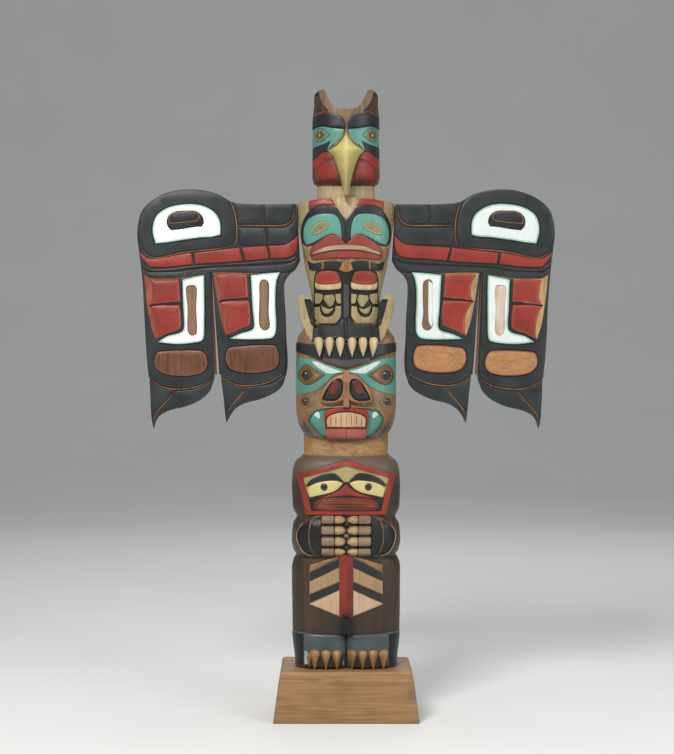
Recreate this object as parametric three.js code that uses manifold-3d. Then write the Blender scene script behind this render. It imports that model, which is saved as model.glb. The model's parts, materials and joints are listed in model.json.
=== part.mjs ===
// A carved model totem pole: one log cut into four figures, two winged boards at its sides, and a base block.
// Millimetres, +Z up, front towards -Y. The origin is the middle of the base's underside.

import * as THREE from 'three';
import { mergeVertices } from 'three/addons/utils/BufferGeometryUtils.js';
import Module from 'manifold-3d';

const wasm = await Module();
wasm.setup();

// Base block: its underside is the larger face, and every side leans in by the same amount.
const BASE_WIDTH = 142;
const BASE_DEPTH = 102;
const BASE_HEIGHT = 49;
const BASE_LEAN = 6;

// The log: a flat back, and four figures with two necks between them, from the base up.
const LOG_BACK = 24;
const BEAR_HEIGHT = 209;
const BEAR_WIDTH = 108;
const BEAR_FRONT = 34;
const LOWER_NECK_HEIGHT = 16;
const LOWER_NECK_WIDTH = 84;
const LOWER_NECK_FRONT = 26;
const MASK_HEIGHT = 104;
const MASK_WIDTH = 100;
const MASK_FRONT = 32;
const THUNDERBIRD_HEIGHT = 132;
const THUNDERBIRD_WIDTH = 97;
const THUNDERBIRD_FRONT = 27;
const UPPER_NECK_HEIGHT = 20;
const UPPER_NECK_WIDTH = 57.4;
const UPPER_NECK_FRONT = 20;
const EAGLE_HEIGHT = 70;
const EAGLE_WIDTH = 67;
const EAGLE_FRONT = 28;

// Wing boards: length outwards from the thunderbird's side, height from the lowest feather tip to the shoulder.
const WING_LENGTH = 162;
const WING_HEIGHT = 239;
const WING_THICKNESS = 11;
const WING_FRONT = 3;
const WING_RELIEF = 1.6;
const WING_RISE_ABOVE_SHOULDER = 13;

// Heights of the carving over a figure's surface, and depths of the cuts below it.
const FINE_RELIEF = 1.5;
const LOW_RELIEF = 2.7;
const MIDDLE_RELIEF = 4.6;
const HIGH_RELIEF = 6.2;
const BOLD_RELIEF = 7.8;
const SOCKET_DEPTH = 1.5;
const HOLLOW_DEPTH = 3;
const CLAW_ROOT = 3;

// Air left between pieces that touch.
const CLEARANCE = 0.3;

// How far a stacked form reaches into its neighbour, so that the log is one body, and a wing's board into
// the shoulder before it is cut back to fit.
const OVERLAP = 2;

// A D section's back is nearly square: 2 would be an ellipse. Most of its sides go to its round front.
const BACK_SQUARENESS = 8;
const CLAW_ROUNDNESS = 1.8;
const BEAK_ROUNDNESS = 1.45;
const FRONT_SHARE = 2 / 3;
const LOG_SIDES = 18;
const SMALL_SIDES = 6;

// Marks a sharp corner in a drawn outline; the other points are joined by a smooth curve.
const SHARP = true;

const lowerNeckFloor = BASE_HEIGHT + CLEARANCE + BEAR_HEIGHT;
const maskFloor = lowerNeckFloor + LOWER_NECK_HEIGHT;
const thunderbirdFloor = maskFloor + MASK_HEIGHT;
const upperNeckFloor = thunderbirdFloor + THUNDERBIRD_HEIGHT;
const eagleFloor = upperNeckFloor + UPPER_NECK_HEIGHT;

// Each figure's rows are [share of height, share of half width, share of front, roundness], from below up.
const BEAR = {
  floor: BASE_HEIGHT + CLEARANCE,
  height: BEAR_HEIGHT,
  half: BEAR_WIDTH / 2,
  front: BEAR_FRONT,
  rows: [
    [0, 0.93, 0.78, 3.2], [0.16, 0.985, 0.87, 3], [0.46, 1, 0.92, 3], [0.505, 0.97, 0.92, 3],
    [0.525, 0.91, 0.9, 3], [0.555, 0.975, 0.95, 3], [0.612, 1, 1, 3], [0.675, 0.975, 1, 3],
    [0.708, 0.905, 0.93, 3], [0.75, 0.98, 0.96, 2.8], [0.85, 1, 1, 2.8], [0.935, 0.98, 0.98, 2.8],
    [0.975, 0.92, 0.93, 2.7], [1, 0.8, 0.82, 2.6],
  ],
};
const LOWER_NECK = {
  floor: lowerNeckFloor - OVERLAP,
  height: LOWER_NECK_HEIGHT + 2 * OVERLAP,
  half: LOWER_NECK_WIDTH / 2,
  front: LOWER_NECK_FRONT,
  rows: [[0, 1, 1, 2.4], [1, 1, 1, 2.4]],
};
const MASK = {
  floor: maskFloor,
  height: MASK_HEIGHT,
  half: MASK_WIDTH / 2,
  front: MASK_FRONT,
  rows: [
    [0, 0.76, 0.86, 2.5], [0.035, 0.82, 0.94, 2.6], [0.16, 0.955, 1, 2.7], [0.32, 1, 1, 2.8],
    [0.88, 0.995, 0.98, 2.7], [0.98, 0.96, 0.92, 2.6], [1.055, 0.86, 0.8, 2.5],
  ],
};
const THUNDERBIRD = {
  floor: thunderbirdFloor,
  height: THUNDERBIRD_HEIGHT,
  half: THUNDERBIRD_WIDTH / 2,
  front: THUNDERBIRD_FRONT,
  rows: [
    [-0.01, 0.66, 0.82, 2.6], [0.26, 0.7, 0.86, 2.6], [0.54, 0.856, 0.96, 2.6],
    [0.975, 0.995, 1, 2.6], [1, 0.965, 0.94, 2.6],
  ],
};
const UPPER_NECK = {
  floor: upperNeckFloor - OVERLAP,
  height: UPPER_NECK_HEIGHT + 2 * OVERLAP,
  half: UPPER_NECK_WIDTH / 2,
  front: UPPER_NECK_FRONT,
  rows: [[0, 1.02, 1, 2.2], [1, 0.98, 1, 2.2]],
};
const EAGLE = {
  floor: eagleFloor,
  height: EAGLE_HEIGHT,
  half: EAGLE_WIDTH / 2,
  front: EAGLE_FRONT,
  rows: [[0, 0.96, 0.94, 2.1], [0.06, 1, 1, 2.1], [1, 0.99, 0.97, 2.1], [1.34, 0.97, 0.86, 2.1]],
};

/** A closed geometry as a solid that can be cut and joined. */
function solid(geometry) {
  geometry.deleteAttribute('normal');
  geometry.deleteAttribute('uv');
  const merged = mergeVertices(geometry, 1e-4);
  return new wasm.Manifold(new wasm.Mesh({
    numProp: 3,
    vertProperties: Float32Array.from(merged.attributes.position.array),
    triVerts: Uint32Array.from(merged.index.array),
  }));
}

/** A solid as a mesh with a name and a finish. */
function piece(name, form, color, roughness) {
  const cut = form.getMesh();
  const geometry = new THREE.BufferGeometry();
  geometry.setAttribute('position', new THREE.BufferAttribute(Float32Array.from(cut.vertProperties), 3));
  geometry.setIndex(new THREE.BufferAttribute(Uint32Array.from(cut.triVerts), 1));
  geometry.computeVertexNormals();
  const finish = new THREE.MeshStandardMaterial({ color, roughness, metalness: 0, flatShading: true });
  const mesh = new THREE.Mesh(geometry, finish);
  mesh.name = name;
  return mesh;
}

/**
 * A lofted form with a D section. Each row gives z, the half width, the y of the front, middle and back,
 * and the roundness of the front. The form can be grown on every side.
 */
function loft(rows, sides, centre = 0, grow = 0) {
  const geometry = new THREE.CylinderGeometry(1, 1, 1, sides, rows.length - 1);
  const point = geometry.attributes.position;
  for (let index = 0; index < point.count; index += 1) {
    const row = rows[Math.round((point.getY(index) + 0.5) * (rows.length - 1))];
    const atAxis = point.getX(index) === 0 && point.getZ(index) === 0;
    const turn = atAxis ? 0 : Math.atan2(point.getX(index), point.getZ(index)) / Math.PI;
    const inFront = Math.abs(turn) <= FRONT_SHARE;
    const quarter = inFront ? Math.abs(turn) / FRONT_SHARE : (Math.abs(turn) - 1) / (1 - FRONT_SHARE);
    const across = atAxis ? 0 : Math.sign(turn) * Math.sin(Math.abs(quarter) * Math.PI / 2);
    const ahead = atAxis ? 0 : Math.cos(quarter * Math.PI / 2) * (inFront ? 1 : -1);
    const power = 2 / (ahead > 0 ? row.roundness : BACK_SQUARENESS);
    const reach = ahead > 0 ? row.front - row.middle - grow : row.back - row.middle + grow;
    const x = centre + Math.sign(across) * (row.half + grow) * Math.abs(across) ** power;
    const y = row.middle + reach * Math.abs(ahead) ** power;
    point.setXYZ(index, x, y, row.z);
  }
  return solid(geometry);
}

/** A figure's form, grown by a height over its surface. */
function figureForm(figure, grow = 0) {
  const rows = figure.rows.map(([share, width, depth, roundness]) => ({
    z: figure.floor + share * figure.height,
    half: width * figure.half,
    front: -depth * figure.front,
    middle: 0,
    back: LOG_BACK,
    roundness,
  }));
  return loft(rows, LOG_SIDES, 0, grow);
}

/** The points of an outline, smooth between the corners that are marked sharp. */
function smooth(points, steps = 1) {
  const corners = points.flatMap((point, index) => (point[2] ? [index] : []));
  const vectors = points.map(([x, y]) => new THREE.Vector3(x, y, 0));
  if (corners.length === 0) {
    return new THREE.CatmullRomCurve3(vectors, true).getPoints(points.length * steps).slice(1);
  }
  return corners.flatMap((start, turn) => {
    const end = corners[(turn + 1) % corners.length];
    const count = (end - start + points.length) % points.length || points.length;
    const run = Array.from({ length: count + 1 }, (_, step) => vectors[(start + step) % points.length]);
    if (count === 1) {
      return [run[1]];
    }
    return new THREE.CatmullRomCurve3(run).getPoints(count * steps).slice(1);
  });
}

/** A half outline, drawn on the positive side, joined with its mirror image. */
function acrossMiddle(half) {
  const mirrored = half.filter(([u]) => u > 0).map(([u, v, sharp]) => [-u, v, sharp]);
  return [...half, ...mirrored.reverse()];
}

/** An outline and its mirror image. */
function bothSides(points) {
  return [points, points.map(([u, v, sharp]) => [-u, v, sharp])];
}

/** A rectangle's outline in shares. */
function block(left, right, bottom, top) {
  return [[left, bottom, SHARP], [right, bottom, SHARP], [right, top, SHARP], [left, top, SHARP]];
}

/** A board with the given outline in XZ, from its front to its back. */
function board(points, front, back) {
  const shape = new THREE.Shape(points.map(({ x, y }) => new THREE.Vector2(x, y)));
  const geometry = new THREE.ExtrudeGeometry(shape, { depth: back - front, bevelEnabled: false });
  geometry.rotateX(Math.PI / 2);
  geometry.translate(0, back, 0);
  return solid(geometry);
}

/** An outline in a figure's own shares, as points in millimetres. */
function onFigure(figure, outline, steps) {
  const place = ([u, v, sharp]) => [u * figure.half, figure.floor + v * figure.height, sharp];
  return smooth(outline.map(place), steps);
}

/** A straight cutter from the log's axis out through its front. */
function cutter(figure, outline, steps) {
  return board(onFigure(figure, outline, steps), -3 * figure.front, 0);
}

/** Adds wood inside each outline, up to a height over the figure's surface. */
function raise(log, figure, outlines, height, steps) {
  const skin = figureForm(figure, height);
  return outlines.reduce((wood, outline) => wood.add(cutter(figure, outline, steps).intersect(skin)), log);
}

/** Cuts each outline down to a depth under the figure's surface. A negative depth leaves some rise. */
function sink(log, figure, outlines, depth, steps) {
  const kept = figureForm(figure, -depth);
  return outlines.reduce((wood, outline) => wood.subtract(cutter(figure, outline, steps).subtract(kept)), log);
}

/** A claw, talon or tooth-like wedge: rows are [z, half width, front], and it is rooted at the y given. */
function claw(rows, centre, root) {
  const back = root + CLAW_ROOT;
  const form = rows.map(([z, half, front]) => ({ z, half, front, middle: root, back, roundness: CLAW_ROUNDNESS }));
  return loft(form, SMALL_SIDES, centre);
}

/** The top figure: a horned bird's head with a long hooked beak. */
function carveEagle(log) {
  const crown = acrossMiddle([
    [0, -0.02, SHARP], [1.1, -0.02, SHARP], [1.1, 1, SHARP], [0.985, 1.1], [0.971, 1.198], [0.886, 1.256],
    [0.764, 1.284], [0.654, 1.282, SHARP], [0.557, 1.186], [0.435, 1.075], [0.3, 1.015], [0.18, 0.997, SHARP],
    [0, 0.997, SHARP],
  ]);
  const hornsBack = 0.3 * EAGLE_FRONT;
  const behindHorns = board(onFigure(EAGLE, block(-1.2, 1.2, 0.997, 1.5)), hornsBack, LOG_BACK + OVERLAP);
  const head = figureForm(EAGLE)
    .intersect(board(onFigure(EAGLE, crown), -2 * EAGLE_FRONT, LOG_BACK + OVERLAP))
    .subtract(behindHorns);
  let wood = log.add(head);
  const hornInset = [
    [0.9, 1.17], [0.82, 1.227, SHARP], [0.752, 1.116], [0.654, 1.034], [0.52, 0.967, SHARP], [0.703, 0.955],
    [0.89, 0.967, SHARP],
  ];
  const socket = [
    [0.045, 0.7, SHARP], [0.435, 0.725], [0.727, 0.757], [0.947, 0.737, SHARP], [0.957, 0.474, SHARP],
    [0.727, 0.498], [0.454, 0.547], [0.569, 0.41, SHARP], [0.313, 0.486], [0.142, 0.579],
  ];
  const brow = [
    [0.13, 0.877], [0.033, 0.789], [0.05, 0.717, SHARP], [0.435, 0.74], [0.727, 0.774], [0.947, 0.754, SHARP],
    [0.942, 0.859], [0.874, 0.927, SHARP], [0.606, 0.943], [0.337, 0.918],
  ];
  const upperCheek = [
    [0.927, 0.171, SHARP], [0.91, 0.259], [0.837, 0.317], [0.63, 0.387], [0.52, 0.381, SHARP],
    [0.374, 0.288, SHARP], [0.581, 0.267], [0.74, 0.232],
  ];
  const lowerCheek = [
    [0.813, 0.164, SHARP], [0.703, 0.218], [0.532, 0.247], [0.35, 0.256, SHARP], [0.235, 0.048, SHARP],
    [0.788, 0.043, SHARP],
  ];
  wood = sink(wood, EAGLE, bothSides(hornInset), SOCKET_DEPTH);
  wood = sink(wood, EAGLE, bothSides(socket), SOCKET_DEPTH);
  wood = raise(wood, EAGLE, bothSides(brow), LOW_RELIEF);
  wood = raise(wood, EAGLE, [...bothSides(upperCheek), ...bothSides(lowerCheek)], FINE_RELIEF);
  const beakShares = [
    [-0.305, 0.03, 1.36], [-0.2, 0.085, 1.5], [0, 0.17, 1.68], [0.17, 0.276, 1.77], [0.282, 0.362, 1.78],
    [0.37, 0.49, 1.72], [0.405, 0.56, 1.66], [0.457, 0.386, 1.56], [0.565, 0.15, 1.32], [0.682, 0.02, 1.06],
  ];
  const beak = beakShares.map(([share, width, depth]) => ({
    z: EAGLE.floor + share * EAGLE.height,
    half: width * EAGLE.half,
    front: -depth * EAGLE.front,
    middle: -0.75 * EAGLE.front,
    back: -0.6 * EAGLE.front,
    roundness: BEAK_ROUNDNESS,
  }));
  return wood.add(loft(beak, 2 * SMALL_SIDES));
}

/** The second figure: a bird that faces forward, its legs drawn up and its talons on the mask's brow. */
function carveThunderbird(log) {
  const socket = [
    [0.09, 0.708, SHARP], [0.105, 0.797], [0.153, 0.857], [0.235, 0.887], [0.51, 0.894], [0.793, 0.849],
    [0.867, 0.74], [0.815, 0.669, SHARP], [0.48, 0.718], [0.376, 0.736], [0.183, 0.734],
  ];
  const brow = [
    [0.22, 0.957, SHARP], [0.257, 0.988], [0.309, 1, SHARP], [0.763, 0.997, SHARP], [0.76, 0.925, SHARP],
    [0.48, 0.958],
  ];
  const lips = acrossMiddle([
    [0, 0.669, SHARP], [0.153, 0.729], [0.257, 0.741], [0.376, 0.732], [0.629, 0.671], [0.745, 0.61],
    [0.704, 0.558, SHARP], [0, 0.567, SHARP],
  ]);
  const wedge = acrossMiddle([[0, 0.559, SHARP], [0.153, 0.48, SHARP], [0, 0.458, SHARP]]);
  const kneeCap = [
    [0.636, 0.368], [0.6, 0.445], [0.462, 0.469], [0.265, 0.469], [0.155, 0.44], [0.099, 0.368],
    [0.191, 0.331], [0.536, 0.331],
  ];
  const knee = [[0.443, 0.289, SHARP], [0.265, 0.295, SHARP], [0.228, 0.259], [0.327, 0.201], [0.462, 0.264]];
  const shin = [
    [0.646, 0.201, SHARP], [0.536, 0.205, SHARP], [0.5, 0.15], [0.376, 0.126], [0.25, 0.155],
    [0.216, 0.205, SHARP], [0.105, 0.21, SHARP], [0.103, 0.133], [0.216, 0.075, SHARP], [0.56, 0.078, SHARP],
    [0.64, 0.13],
  ];
  const foot = [
    [0.66, 0.088, SHARP], [0.56, 0.07], [0.216, 0.069], [0.093, 0.117, SHARP], [0.029, 0.115, SHARP],
    [0.025, -0.032, SHARP], [0.609, -0.034, SHARP],
  ];
  let wood = raise(log, THUNDERBIRD, bothSides(brow), FINE_RELIEF);
  wood = sink(wood, THUNDERBIRD, bothSides(socket), SOCKET_DEPTH);
  wood = raise(wood, THUNDERBIRD, [lips], LOW_RELIEF);
  wood = raise(wood, THUNDERBIRD, [wedge], LOW_RELIEF);
  wood = raise(wood, THUNDERBIRD, bothSides(kneeCap), HIGH_RELIEF);
  wood = raise(wood, THUNDERBIRD, [...bothSides(knee), ...bothSides(shin)], MIDDLE_RELIEF);
  wood = raise(wood, THUNDERBIRD, bothSides(foot), HIGH_RELIEF);
  const talonShares = [0.124, 0.345, 0.554];
  const talonTop = THUNDERBIRD.floor + 0.03 * THUNDERBIRD.height;
  const talonLength = 0.185 * THUNDERBIRD.height;
  const talonHalf = 0.088 * THUNDERBIRD.half;
  for (const share of [...talonShares, ...talonShares.map((value) => -value)]) {
    const rows = [
      [talonTop - talonLength, 0.12 * talonHalf, -1.26 * MASK.front],
      [talonTop - 0.45 * talonLength, 0.85 * talonHalf, -1.28 * MASK.front],
      [talonTop, 0.9 * talonHalf, -THUNDERBIRD.front],
    ];
    wood = wood.add(claw(rows, share * THUNDERBIRD.half, -0.7 * THUNDERBIRD.front));
  }
  return wood;
}

/** The third figure: a frowning mask with round eyes, a broad nose, bared teeth and two ears. */
function carveMask(log) {
  const socket = [
    [0.06, 0.64, SHARP], [0.145, 0.674], [0.355, 0.708], [0.565, 0.746], [0.85, 0.777], [0.96, 0.8, SHARP],
    [0.975, 0.42, SHARP], [0.747, 0.445], [0.565, 0.474], [0.418, 0.521], [0.285, 0.585], [0.187, 0.622],
  ];
  const brow = acrossMiddle([
    [0, 0.672, SHARP], [0.117, 0.686], [0.495, 0.751], [0.705, 0.793], [0.978, 0.844, SHARP],
    [0.978, 0.931, SHARP], [0.649, 0.904], [0.285, 0.918], [0, 0.918, SHARP],
  ]);
  const nose = acrossMiddle([
    [0, 0.665, SHARP], [0.1, 0.64, SHARP], [0.274, 0.585], [0.432, 0.501], [0.511, 0.416], [0.48, 0.36],
    [0.25, 0.335], [0, 0.391, SHARP],
  ]);
  const nostril = [
    [0.091, 0.568], [0.25, 0.56], [0.362, 0.501], [0.458, 0.416], [0.36, 0.37], [0.187, 0.38], [0.075, 0.47],
  ];
  const mouthHollow = acrossMiddle([
    [0, 0.305, SHARP], [0.425, 0.299], [0.64, 0.26], [0.725, 0.184], [0.63, 0.09], [0.42, 0.02, SHARP],
    [0, 0.02, SHARP],
  ]);
  const lips = acrossMiddle([
    [0, 0.302, SHARP], [0.25, 0.296], [0.43, 0.262], [0.432, 0.198], [0.4, 0.018, SHARP], [0, 0.018, SHARP],
  ]);
  const teeth = acrossMiddle([
    [0, 0.272, SHARP], [0.3, 0.25], [0.397, 0.204], [0.39, 0.118, SHARP], [0, 0.118, SHARP],
  ]);
  const ear = [
    [1.005, 0.271], [0.9, 0.303], [0.749, 0.271], [0.656, 0.203], [0.64, 0.109], [0.64, -0.06, SHARP],
    [0.93, -0.06, SHARP], [0.95, 0.126],
  ];
  const earHollow = [
    [0.915, 0.259], [0.79, 0.27], [0.709, 0.205], [0.69, 0.126], [0.73, 0.03, SHARP], [0.86, 0.14],
  ];
  const earFront = -0.45 * MASK_FRONT;
  const earBack = 0.15 * MASK_FRONT;
  let wood = sink(log, MASK, [mouthHollow], SOCKET_DEPTH);
  wood = raise(wood, MASK, [lips], MIDDLE_RELIEF);
  wood = sink(wood, MASK, [teeth], -LOW_RELIEF);
  wood = sink(wood, MASK, bothSides(socket), SOCKET_DEPTH);
  wood = raise(wood, MASK, [brow], MIDDLE_RELIEF);
  wood = raise(wood, MASK, [nose], BOLD_RELIEF);
  wood = sink(wood, MASK, bothSides(nostril), -MIDDLE_RELIEF);
  for (const side of [-1, 1]) {
    const eyeball = new THREE.SphereGeometry(0.135 * MASK.half, 2 * SMALL_SIDES, SMALL_SIDES);
    eyeball.translate(side * 0.735 * MASK.half, -0.76 * MASK.front, MASK.floor + 0.615 * MASK.height);
    wood = wood.add(solid(eyeball));
    const knob = new THREE.SphereGeometry(0.085 * MASK.half, SMALL_SIDES, SMALL_SIDES);
    knob.translate(side * 0.859 * MASK.half, -0.61 * MASK.front, MASK.floor + 0.363 * MASK.height);
    wood = wood.add(solid(knob));
  }
  for (const outline of bothSides(ear)) {
    wood = wood.add(board(onFigure(THUNDERBIRD, outline), earFront, earBack));
  }
  for (const outline of bothSides(earHollow)) {
    wood = wood.subtract(board(onFigure(THUNDERBIRD, outline), 2 * earFront, earFront + HOLLOW_DEPTH));
  }
  return wood;
}

/** The lowest figure: a bear with a five-sided face, hands on its chest, a striped belly and clawed feet. */
function carveBear(log) {
  const face = acrossMiddle([[0, 0.986, SHARP], [0.902, 0.911, SHARP], [0.726, 0.723, SHARP]]);
  const field = acrossMiddle([[0, 0.956, SHARP], [0.786, 0.9, SHARP], [0.631, 0.742, SHARP]]);
  const brow = [
    [0.052, 0.874, SHARP], [0.2, 0.914], [0.383, 0.913], [0.732, 0.861, SHARP], [0.383, 0.886], [0.2, 0.893],
  ];
  const eye = [
    [0.06, 0.868, SHARP], [0.323, 0.888], [0.56, 0.874], [0.717, 0.843, SHARP], [0.65, 0.806, SHARP],
    [0.278, 0.83],
  ];
  const nose = acrossMiddle([[0, 0.874, SHARP], [0.14, 0.838], [0.55, 0.802, SHARP], [0, 0.812, SHARP]]);
  const lips = acrossMiddle([[0, 0.806, SHARP], [0.45, 0.8], [0.575, 0.765], [0.5, 0.747], [0, 0.747, SHARP]]);
  const sleeve = [
    [0.451, 0.727, SHARP], [0.608, 0.719], [0.774, 0.699], [0.92, 0.655], [0.962, 0.6], [0.819, 0.534],
    [0.638, 0.527], [0.455, 0.527, SHARP],
  ];
  const panel = acrossMiddle([
    [0, 0.539, SHARP], [0.668, 0.49, SHARP], [0.668, 0.306, SHARP], [0, 0.235, SHARP],
  ]);
  const ridge = acrossMiddle([
    [0, 0.539, SHARP], [0.11, 0.53, SHARP], [0.11, 0.247, SHARP], [0, 0.235, SHARP],
  ]);
  const legGap = acrossMiddle([[0, 0.235, SHARP], [0.1, 0.19, SHARP], [0.045, 0, SHARP], [0, 0, SHARP]]);
  const foot = [
    [0.03, 0, SHARP], [0.03, 0.166, SHARP], [0.955, 0.166, SHARP], [0.955, 0.05, SHARP], [0.78, 0, SHARP],
  ];
  let wood = raise(log, BEAR, [face], LOW_RELIEF);
  wood = sink(wood, BEAR, [field], -FINE_RELIEF);
  wood = raise(wood, BEAR, [...bothSides(brow), ...bothSides(eye)], LOW_RELIEF);
  wood = raise(wood, BEAR, [nose], MIDDLE_RELIEF);
  wood = raise(wood, BEAR, [lips], LOW_RELIEF);
  wood = raise(wood, BEAR, bothSides(sleeve), MIDDLE_RELIEF);
  const fingerRows = [[0.683, 0.723], [0.631, 0.676], [0.577, 0.626], [0.534, 0.571]];
  for (const [bottom, top] of fingerRows) {
    wood = raise(wood, BEAR, bothSides(block(0.012, 0.46, bottom, top)), BOLD_RELIEF);
  }
  wood = raise(wood, BEAR, [panel], LOW_RELIEF);
  wood = raise(wood, BEAR, [ridge], MIDDLE_RELIEF);
  wood = sink(wood, BEAR, [legGap], HOLLOW_DEPTH);
  wood = raise(wood, BEAR, bothSides(foot), FINE_RELIEF);
  const clawShares = [0.16, 0.37, 0.57, 0.77];
  const clawFloor = BEAR.floor + 0.002 * BEAR.height;
  const clawHeight = 0.097 * BEAR.height;
  const clawHalf = 0.082 * BEAR.half;
  for (const share of [...clawShares, ...clawShares.map((value) => -value)]) {
    const skin = (1 - Math.abs(share) ** 3.2) ** (1 / 3.2) * 0.85 * BEAR.front;
    const rows = [
      [clawFloor, 0.45 * clawHalf, -skin - 0.22 * BEAR.front],
      [clawFloor + 0.6 * clawHeight, clawHalf, -skin - 0.23 * BEAR.front],
      [clawFloor + clawHeight, 0.75 * clawHalf, -skin],
    ];
    wood = wood.add(claw(rows, share * BEAR.half, -skin + 0.15 * BEAR.front));
  }
  return wood;
}

/** The log with all its figures. */
function carveLog() {
  const figures = [BEAR, LOWER_NECK, MASK, THUNDERBIRD, UPPER_NECK];
  const log = figures.map((figure) => figureForm(figure)).reduce((wood, form) => wood.add(form));
  return carveBear(carveMask(carveThunderbird(carveEagle(log))));
}

// Wing outlines are in shares of the wing: along it from the root, and up from the lowest feather tip.
const WING_OUTLINE = [
  [-0.12, 0.94, SHARP], [0.228, 0.939], [0.361, 0.941], [0.427, 0.952, SHARP], [0.498, 0.98], [0.577, 0.995],
  [0.655, 1], [0.753, 0.997], [0.852, 0.977], [0.93, 0.943], [0.974, 0.907], [0.994, 0.86], [0.999, 0.807],
  [0.974, 0.654], [0.95, 0.441], [0.925, 0.215], [0.912, 0.042], [0.901, 0.002, SHARP], [0.886, 0.035],
  [0.856, 0.062], [0.724, 0.098], [0.636, 0.118], [0.567, 0.155], [0.525, 0.228, SHARP], [0.485, 0.227, SHARP],
  [0.471, 0.141], [0.452, 0.024, SHARP], [0.439, 0.048], [0.41, 0.075], [0.361, 0.102], [0.272, 0.118],
  [0.194, 0.138], [0.125, 0.171], [0.088, 0.215], [0.074, 0.275], [0.086, 0.474], [0.094, 0.574],
  [0.066, 0.644], [-0.003, 0.704, SHARP], [-0.12, 0.704, SHARP],
];
const FEATHER_SLIT = [[0.524, 0.21, SHARP], [0.486, 0.21, SHARP], [0.499, 0.62, SHARP], [0.508, 0.62, SHARP]];
const OVOID = [
  [0.405, 0.88], [0.469, 0.965], [0.636, 0.996], [0.753, 0.992], [0.856, 0.971], [0.932, 0.935], [0.975, 0.892],
  [0.987, 0.794], [0.928, 0.728], [0.812, 0.728], [0.528, 0.755], [0.41, 0.784],
];
const OVOID_FIELD = [
  [0.887, 0.772, SHARP], [0.904, 0.83], [0.86, 0.905], [0.731, 0.937], [0.608, 0.935], [0.511, 0.898],
  [0.483, 0.832], [0.485, 0.809, SHARP], [0.675, 0.791],
];
const OVOID_EYE = [
  [0.818, 0.867], [0.764, 0.908], [0.645, 0.91], [0.587, 0.862], [0.6, 0.844, SHARP], [0.79, 0.828, SHARP],
];
const ARM_PANELS = [
  [[0.411, 0.947, SHARP], [0.228, 0.937, SHARP], [0.232, 0.856, SHARP], [0.376, 0.856, SHARP], [0.383, 0.886]],
  [[0.211, 0.934, SHARP], [0.032, 0.938, SHARP], [0.042, 0.905], [0.078, 0.855, SHARP], [0.205, 0.856, SHARP]],
];
const LOWER_ARM_LEFT = [
  [[0.376, 0.839, SHARP], [0.215, 0.839, SHARP], [0.207, 0.769, SHARP], [0.357, 0.767, SHARP]],
  [
    [0.194, 0.839, SHARP], [0.074, 0.841], [0.029, 0.886], [0.021, 0.929, SHARP], [0.008, 0.93, SHARP],
    [0.006, 0.824, SHARP], [0.06, 0.776], [0.19, 0.769, SHARP],
  ],
];
const LOWER_ARM_RIGHT = [
  [
    [0.376, 0.839, SHARP], [0.074, 0.841], [0.029, 0.886], [0.021, 0.929, SHARP], [0.008, 0.93, SHARP],
    [0.006, 0.824, SHARP], [0.06, 0.776], [0.19, 0.769], [0.357, 0.767, SHARP],
  ],
];
const BAND = [
  [0.989, 0.74, SHARP], [0.93, 0.712], [0.861, 0.712], [0.667, 0.736], [0.498, 0.747], [0.19, 0.764],
  [0.086, 0.77], [0.009, 0.81, SHARP], [0.035, 0.728], [0.076, 0.715, SHARP], [0.349, 0.7], [0.498, 0.694],
  [0.802, 0.677], [0.92, 0.675, SHARP],
];
const SILL = [
  [0.977, 0.665, SHARP], [0.92, 0.655], [0.802, 0.655], [0.655, 0.668], [0.361, 0.685], [0.061, 0.697],
  [0.005, 0.717, SHARP], [0.076, 0.655, SHARP], [0.312, 0.649], [0.655, 0.646], [0.901, 0.626, SHARP],
];
const OUTER_FEATHER = {
  red: [
    [[0.917, 0.621, SHARP], [0.742, 0.621, SHARP], [0.734, 0.53, SHARP], [0.917, 0.519, SHARP], [0.904, 0.57]],
    [
      [0.917, 0.508, SHARP], [0.74, 0.516, SHARP], [0.73, 0.468], [0.757, 0.409, SHARP], [0.882, 0.374, SHARP],
      [0.892, 0.468],
    ],
  ],
  white: [
    [0.723, 0.623, SHARP], [0.585, 0.643, SHARP], [0.583, 0.414], [0.59, 0.373], [0.617, 0.361],
    [0.75, 0.352], [0.878, 0.36, SHARP], [0.737, 0.402], [0.713, 0.42], [0.717, 0.504],
  ],
  slot: [[0.698, 0.59], [0.655, 0.602], [0.63, 0.583], [0.63, 0.404], [0.66, 0.388], [0.689, 0.414]],
  oval: [
    [0.894, 0.282], [0.86, 0.323], [0.61, 0.325], [0.566, 0.269], [0.62, 0.228], [0.75, 0.221], [0.87, 0.242],
  ],
  tip: [
    [0.918, 0.2, SHARP], [0.85, 0.171], [0.643, 0.166], [0.538, 0.2, SHARP], [0.57, 0.145], [0.697, 0.093],
    [0.857, 0.056], [0.897, 0.006, SHARP], [0.912, 0.119],
  ],
};
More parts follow.
